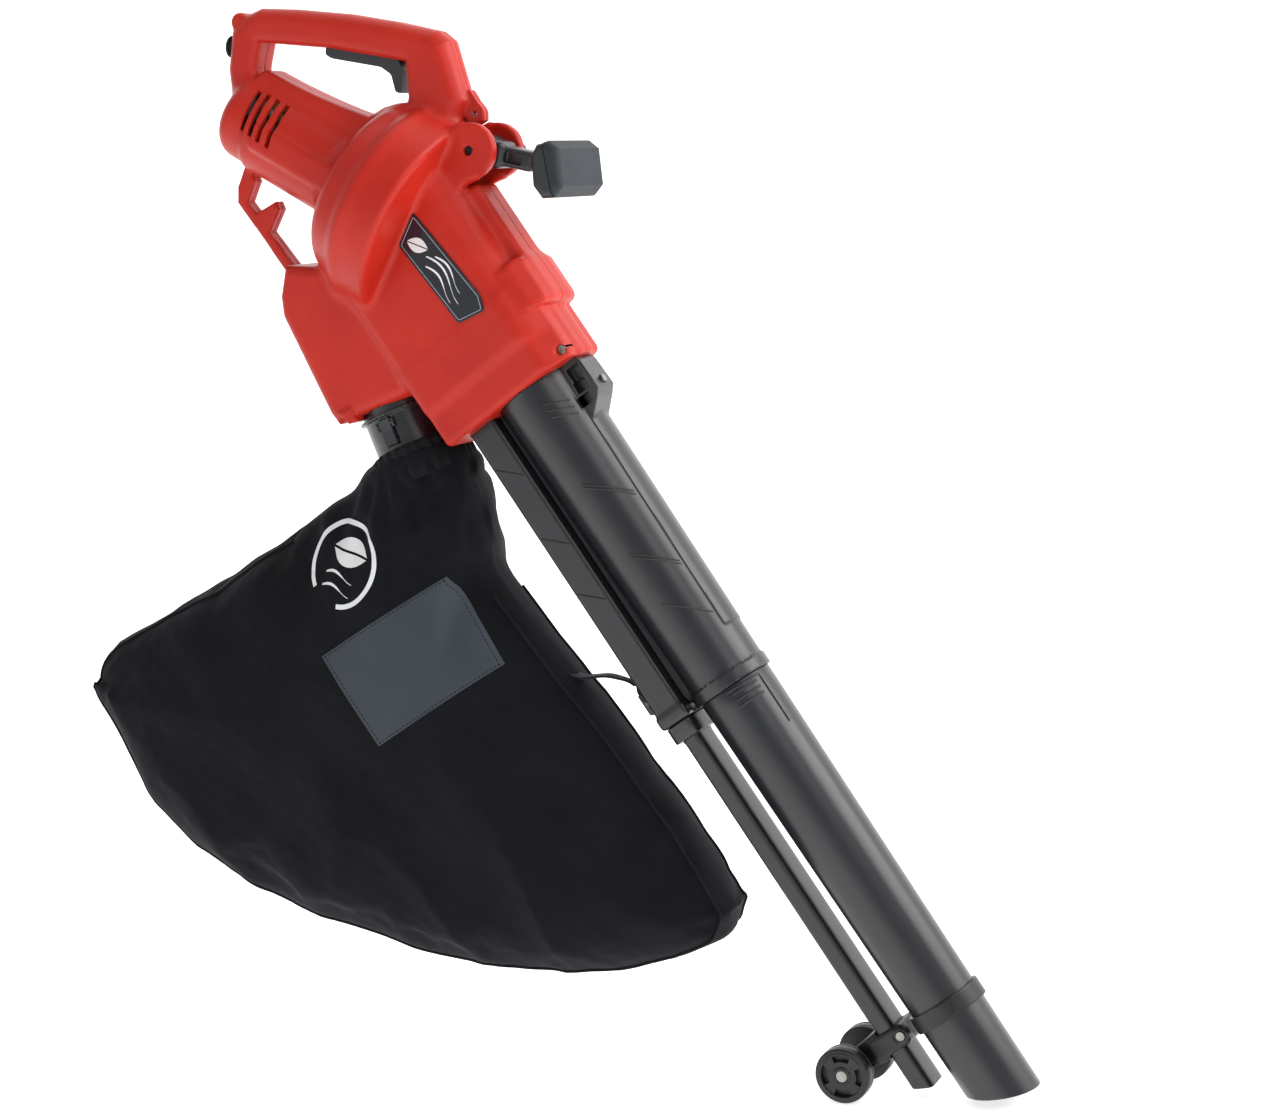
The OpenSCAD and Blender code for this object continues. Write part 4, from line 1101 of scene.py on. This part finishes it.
def bagField():
    s = bagStyle

    def body(x, y, z):
        d = polygon(bagOutline, x, z)
        fuller = 0.86 + 0.14 * np.clip((x - 220) / 380, 0, 1)
        half = s["gusset"] + s["belly"] * fuller * (1 - np.exp(-np.maximum(-d, 0) / 62))
        rim = d + 7 * np.clip(abs(y) / s["gusset"], 0, 1.3) ** 2
        side = (abs(y) - half) * 0.85
        h = np.maximum(7 - abs(rim - side), 0) / 7
        return np.maximum(rim, side) + h * h * 7 / 4
    neck = placed(drum(0, s["neckRadius"], 46, 150, 7), outlet, outletTilt)
    return merge(34, body, neck)


def corners(obj):  # an object's vertices as an array
    return np.array([v.co for v in obj.data.vertices])


def moveTo(obj, places):
    obj.data.vertices.foreach_set("co", places.astype(np.float32).ravel())
    obj.data.update()


def alongOutlet(points):  # how far points lie down the outlet's axis
    return (points - np.array(outlet)) @ outletAxis


def simulated(obj, held):  # cloth under pressure, with no point moved further than the cap
    style = bagStyle
    start = corners(obj)
    group = obj.vertex_groups.new(name="held")
    group.add([int(i) for i in held], 1.0, "REPLACE")
    cloth = obj.modifiers.new("cloth", "CLOTH")
    s = cloth.settings
    s.quality = 6
    s.mass = style["mass"]
    s.tension_stiffness = s.compression_stiffness = style["stretch"]
    s.shear_stiffness = style["shear"]
    s.bending_stiffness = style["bending"]
    s.vertex_group_mass = "held"
    s.use_pressure = True
    s.uniform_pressure_force = style["pressure"]
    s.shrink_min = s.shrink_max = -style["growth"]
    s.effector_weights.gravity = 0
    cloth.collision_settings.use_self_collision = False
    cloth.point_cache.frame_start, cloth.point_cache.frame_end = 1, style["frames"]
    scene = bpy.context.scene
    for number in range(1, style["frames"] + 1):
        scene.frame_set(number)
    done = obj.evaluated_get(bpy.context.evaluated_depsgraph_get())
    moved = corners(done) - start
    obj.modifiers.remove(cloth)
    scene.frame_set(1)
    far = np.linalg.norm(moved, axis=1, keepdims=True)
    reach = style["cap"] * 0.001
    moved *= np.minimum(1, reach * np.tanh(far / reach) / np.maximum(far, 1e-9))
    moveTo(obj, start + moved)
    print("bag simulated")


def wander(points, stretch, shift):  # smooth noise, stretched along each axis
    return np.array([noise.noise(Vector(p * stretch + (0, 0, shift))) for p in points])


def gathers(points):  # folds that fan out of the collar, and long soft creases lower down
    s = bagStyle
    rel = points - np.array(outlet) - outletAxis * 52
    across, down = rel[:, 2], rel[:, 0]
    angle = np.arctan2(across, np.maximum(down, 1) + 40)
    reach = np.hypot(across, down)
    fan = np.sin(angle * 21 + np.sign(points[:, 1]) + 2.2 * np.sin(reach / 70)) * s["fan"]
    fan *= np.exp(-np.maximum(reach - 30, 0) / 95)
    ridge = (1 - 4.4 * abs(wander(points, (0.006, 0.004, 0.013), 5))) * s["ridge"]
    fine = wander(points, (0.02, 0.02, 0.03), 2) * s["fine"]
    rim = np.clip(-polygon(bagOutline, points[:, 0], points[:, 2]) / 45, 0.25, 1)
    calm = polygon(windowCorners, points[:, 0], points[:, 2])
    calm = np.where(points[:, 1] < 0, np.clip((calm + 6) / 30, 0.1, 1), 1)
    return (fan + (ridge - 2 + fine) * rim) * calm


def makeBag():
    s = bagStyle
    step = s["step"] / 1
    obj = moulded("bag_cloth", bagField(), (160, -96, -705), (752, 96, -176), step, 0)
    simulated(obj, np.flatnonzero(alongOutlet(corners(obj) @ rowToTool.T) < s["heldTo"]))
    smooth = obj.modifiers.new("smooth", "SUBSURF")
    smooth.levels = smooth.render_levels = 1
    obj = settled(obj)
    normals = np.array([v.normal for v in obj.data.vertices])
    places = corners(obj)
    points = places @ rowToTool.T
    lift = gathers(points) * np.clip((alongOutlet(points) - 50) / 25, 0, 1)
    moveTo(obj, places + normals * lift[:, None] * 0.001)
    return obj


def surfaceOf(obj):
    verts = [v.co.copy() for v in obj.data.vertices]
    return BVHTree.FromPolygons(verts, [tuple(p.vertices) for p in obj.data.polygons])


def denser(path, n):  # n points to each stretch
    return [a + (b - a) * t for a, b in zip(path[:-1], path[1:]) for t in np.linspace(0, 1, n + 1)[:-1]]


def softened(path, rounds):  # each point drawn towards its neighbours
    for _ in range(rounds):
        path[1:-1] = (path[:-2] + 2 * path[1:-1] + path[2:]) / 4
    return path


# Trims on the bag: window, its stitches, the leaf mark in an open ring, and piping on both seams.
trimStyle = {
    "patchRows": 36, "patchThick": 0.5, "stitchInset": 0.045, "stitchPitch": 4.2, "stitchLong": 3.0,
    "stitchThick": 0.8, "leaf": (254, -322, 44), "gusts": (270, -347, 34), "markTurn": 0.75,
    "ringCentre": (259, -334), "ringRadii": (35.5, 37, 38.5, 40), "pipingRadius": 1.5,
    "pipingProud": 0.0008}


def makeBagTrims(bag):
    s = trimStyle
    tree = surfaceOf(bag)

    def height(x, z):  # the near face's y, a touch proud
        hit = tree.ray_cast(Vector(toolToRow @ np.array([x, -300.0, z])), Vector((0, 1, 0)))
        return (hit[0].y * 1000 if hit[0] is not None else -40.0) - 0.5

    window = np.array(windowCorners, float)
    share = np.linspace(0, 1, s["patchRows"])
    a, b = share[:, None, None], share[None, :, None]
    grid = (1 - a) * ((1 - b) * window[0] + b * window[1]) + a * ((1 - b) * window[3] + b * window[2])
    patch = skin("bag_window_patch", [grid], height, s["patchThick"])
    inset = window + (window.mean(0) - window) * s["stitchInset"]
    border = [[(x, height(x, z) - 0.6, z) for x, z in (p + (q - p) * t for t in np.linspace(0, 1, 40))]
              for p, q in zip(inset, np.roll(inset, -1, 0))]
    stitches = fromPaths("bag_window_stitches", "stitched", border, "trim", Spacing=s["stitchPitch"],
                         Length=s["stitchLong"], Thickness=s["stitchThick"])
    marks = [leafGrid(*s["leaf"], s["markTurn"], half) for half in (1, -1)]
    marks += [gustGrid(*s["gusts"], s["markTurn"], 6 * k, 2.6) for k in (-1, 1)]
    cx, cz = s["ringCentre"]
    marks.append(np.array([[(cx + r * math.cos(t), cz + r * math.sin(t)) for r in s["ringRadii"]]
                           for t in np.linspace(-0.7, 4.7, 90)]))
    mark = skin("bag_leaf_mark", marks, height, 0.15)

    def onCloth(p):
        hit = tree.find_nearest(Vector(p))
        return np.array(hit[0] + hit[1] * s["pipingProud"])

    outline = eased(bagOutline, 14, 4)
    outline = outline[(outline[:, 0] > 185) | (outline[:, 1] < -560)][8:-10]
    seams = []
    for side in (-1, 1):
        y = side * (bagStyle["gusset"] + 4)
        path = np.array([onCloth(toolToRow @ np.array([x, y, z])) for x, z in outline])
        seams.append([onCloth(p) for p in denser(softened(path, 2), 6)])
    piping = fromPaths("bag_piping", "swept", seams, "trim", inTool=False, Radius=s["pipingRadius"])
    return patch, stitches, mark, piping


# Collar: gathered cloth round the adaptor, with a turned hem. Its profile is (along, radius, fold).
collarStyle = {
    "around": 240, "folds": 27, "profile": [
        (40, 37.0, 0.25), (38.5, 39, 0.25), (38.5, 42, 0.9), (41, 45.5, 0.9), (45, 46.5, 0.9),
        (49, 45.8, 1.5), (52, 45.6, 1.5), (56, 47.6, 1.5), (61, 49.8, 1.5), (66, 51, 0.9),
        (72, 51, 0.9), (72, 48, 0.9), (60, 46, 1.5), (50, 42, 0.25), (42, 38, 0.25)]}


def makeCollar():
    s = collarStyle
    last = len(s["profile"]) - 1
    angle = np.linspace(0, 2 * math.pi, s["around"], endpoint=False)
    sway = 1.2 * np.sin(angle * 3 + 0.7) - 3.5 * np.sin(angle)
    c, d = math.cos(outletTilt), math.sin(outletTilt)
    rings = []
    for number, (x, r, deep) in enumerate(s["profile"]):
        wave = np.sin(angle * s["folds"] + 0.6 * np.sin(angle * 4)) + 0.5 * np.sin(angle * 11 + 1)
        u = x + sway * (0.4 if number in (0, last) else 1)
        w = (r + deep * wave) * np.sin(angle)
        rings.append(np.stack([outlet[0] + u * c - w * d, (r + deep * wave) * np.cos(angle),
                               outlet[2] + u * d + w * c], 1))
    return outwards(lofted("bag_collar_cloth", rings, 50))


# Strap: flat webbing, sewn to the bag and looped through the hook's tail.
strapStyle = {"seat": (463.0, 0, -210), "half": 10, "taper": 5.5, "thick": 0.9,
              "route": [[478, -201], [487, -192], [495, -184.5], [501, -182.0]]}


def makeStrap(bag):
    s = strapStyle
    seat = rowToTool @ np.array(surfaceOf(bag).find_nearest(Vector(toolToRow @ np.array(s["seat"])))[0])
    route = np.array([[seat[0] - 7, seat[2] - 3.5], [seat[0] + 2, seat[2] + 1.5]] + s["route"])
    path = softened(np.array(denser(route, 4) + [route[-1]]), 3)
    last = len(path) - 1
    thick = s["thick"]
    rings = []
    for i, p in enumerate(path):
        t = path[min(i + 1, last)] - path[max(i - 1, 0)]
        t = t / np.linalg.norm(t)
        half = s["half"] - s["taper"] * min(1, i / last * 1.4)
        upper = [(half, thick), (half - 0.6, thick + 0.15), (0, thick), (0.6 - half, thick + 0.15),
                 (-half, thick)]
        section = [(-y, -h) for y, h in upper] + upper
        rings.append([(p[0] - t[1] * h, y, p[1] + t[0] * h) for y, h in section])
    rings = np.array(rings)
    n = rings.shape[1]
    faces = [[i * n + j, i * n + (j + 1) % n, (i + 1) * n + (j + 1) % n, (i + 1) * n + j]
             for i in range(last) for j in range(n)]
    faces += [list(range(n)), list(range(last * n, (last + 1) * n))[::-1]]
    return outwards(meshObject("strap_webbing", rings.reshape(-1, 3) @ toolToRow.T, faces))


# Putting the pieces on their bodies.
nearShell, farShell = makeHousing()
putOn(nearShell, "housing", "blower", "housing", "housing_near")
putOn(farShell, "housing", "blower", "housing", "housing_far")
plate, labelEdge, labelMark = makeLabel()
putOn(plate, "label", "blower", "label", "label_plate")
putOn(labelEdge, "line", "blower", "label")
putOn(labelMark, "print", "blower", "label")
putOn(makeUpperTube(), "tube", "blower", "tube", "upper_tube")
putOn(makeTubeRibs(), "tube", "blower", "tube")
putOn(makeJointWindow(), "tube", "blower", "tube")
putOn(makeLowerSuction(), "tube", "blower", "tube", "lower_suction_tube")
putOn(makeLowerBlow(), "tube", "blower", "tube", "lower_blow_tube")
putOn(makeBracket(), "wheel", "blower", "tube", "wheel_bracket")
putOn(makeWheel(-1), "wheel", "left_wheel", "wheel", "wheel_near")
putOn(makeWheel(1), "wheel", "right_wheel", "wheel", "wheel_far")
armPiece, gripBase, gripPad = makeFrontGrip()
putOn(armPiece, "grip", "front_handle", "dark", "handle_arm")
putOn(gripBase, "grip", "front_handle", "grip", "handle_grip")
putOn(gripPad, "pad", "front_handle", "grip")
putOn(makeAdaptor(), "tube", "blower", "tube", "bag_adaptor")
bag = makeBag()
patch, stitches, bagMark, piping = makeBagTrims(bag)
putOn(bag, "cloth", "blower", "cloth", "bag")
putOn(patch, "patch", "blower", "cloth")
putOn(stitches, "trim", "blower", "cloth")
putOn(bagMark, "print", "blower", "cloth")
putOn(piping, "trim", "blower", "cloth")
putOn(makeCollar(), "trim", "blower", "dark", "bag_collar")
putOn(makeStrap(bag), "webbing", "blower", "webbing", "bag_strap")
print("pieces made")

# Stage and light: a pale floor that turns up into a backdrop, and soft boxes.
lightStyle = {
    "world": 0.42, "stageGlow": 0.72, "aim": (0.0, 0.0, -0.4),
    "boxes": {      # place, width, height, watts
        "key": ((1.7, -1.5, 1.2), 1.0, 1.6, 10), "fill": ((-1.9, -1.9, 0.6), 1.4, 1.8, 3),
        "top": ((0.0, 0.3, 1.9), 2.0, 1.4, 8), "side": ((2.1, 0.3, 0.9), 1.7, 1.7, 42)}}
stageStyle = {"half": 16.0, "front": -16.0, "turn": 2.0, "turnRadius": 1.5, "top": 6.0}


def makeStage():
    s = stageStyle
    floor, r = cadBox[0][2] - 0.001, s["turnRadius"]
    profile = [(s["front"], floor), (s["turn"], floor)]
    profile += [(s["turn"] + r * math.sin(a), floor + r - r * math.cos(a))
                for a in np.linspace(0.1, math.pi / 2, 12)]
    profile += [(s["turn"] + r, s["top"])]
    verts = [(x, y, z) for y, z in profile for x in (-s["half"], s["half"])]
    faces = [[2 * i, 2 * i + 1, 2 * i + 3, 2 * i + 2] for i in range(len(profile) - 1)]
    obj = meshObject("studio_floor", verts, faces, 80)
    # rolled paper: matt, nearly white, with a glow that keeps the backdrop even
    mat, tree, shader, where = startMaterial(
        "pale_studio_paper", Roughness=0.9, Emission_Color=(1, 1, 1, 1),
        Emission_Strength=lightStyle["stageGlow"])
    joined(tree, shader, Base_Color=clouded(tree, where, 900, "#F4F4F4", "#FAFAFA", detail=2.0))
    obj.data.materials.append(mat)


def softBox(name, place, wide, high, watts):
    data = bpy.data.lights.new(name, "AREA")
    data.shape = "RECTANGLE"
    data.size, data.size_y, data.energy = wide, high, watts
    obj = bpy.data.objects.new(name, data)
    obj.location = place
    aim = Vector(lightStyle["aim"]) - Vector(place)
    obj.rotation_euler = aim.to_track_quat("-Z", "Y").to_euler()
    bpy.context.collection.objects.link(obj)


makeStage()
for lightName, setting in lightStyle["boxes"].items():
    softBox(lightName, *setting)
world = bpy.data.worlds.new("studio")
bpy.context.scene.world = world
world.use_nodes = True
glow = next(n for n in world.node_tree.nodes if n.type == "BACKGROUND")
glow.inputs["Color"].default_value = (1, 1, 1, 1)
glow.inputs["Strength"].default_value = lightStyle["world"]
bpy.context.scene.view_settings.view_transform = "Standard"
print("stage and lights made")
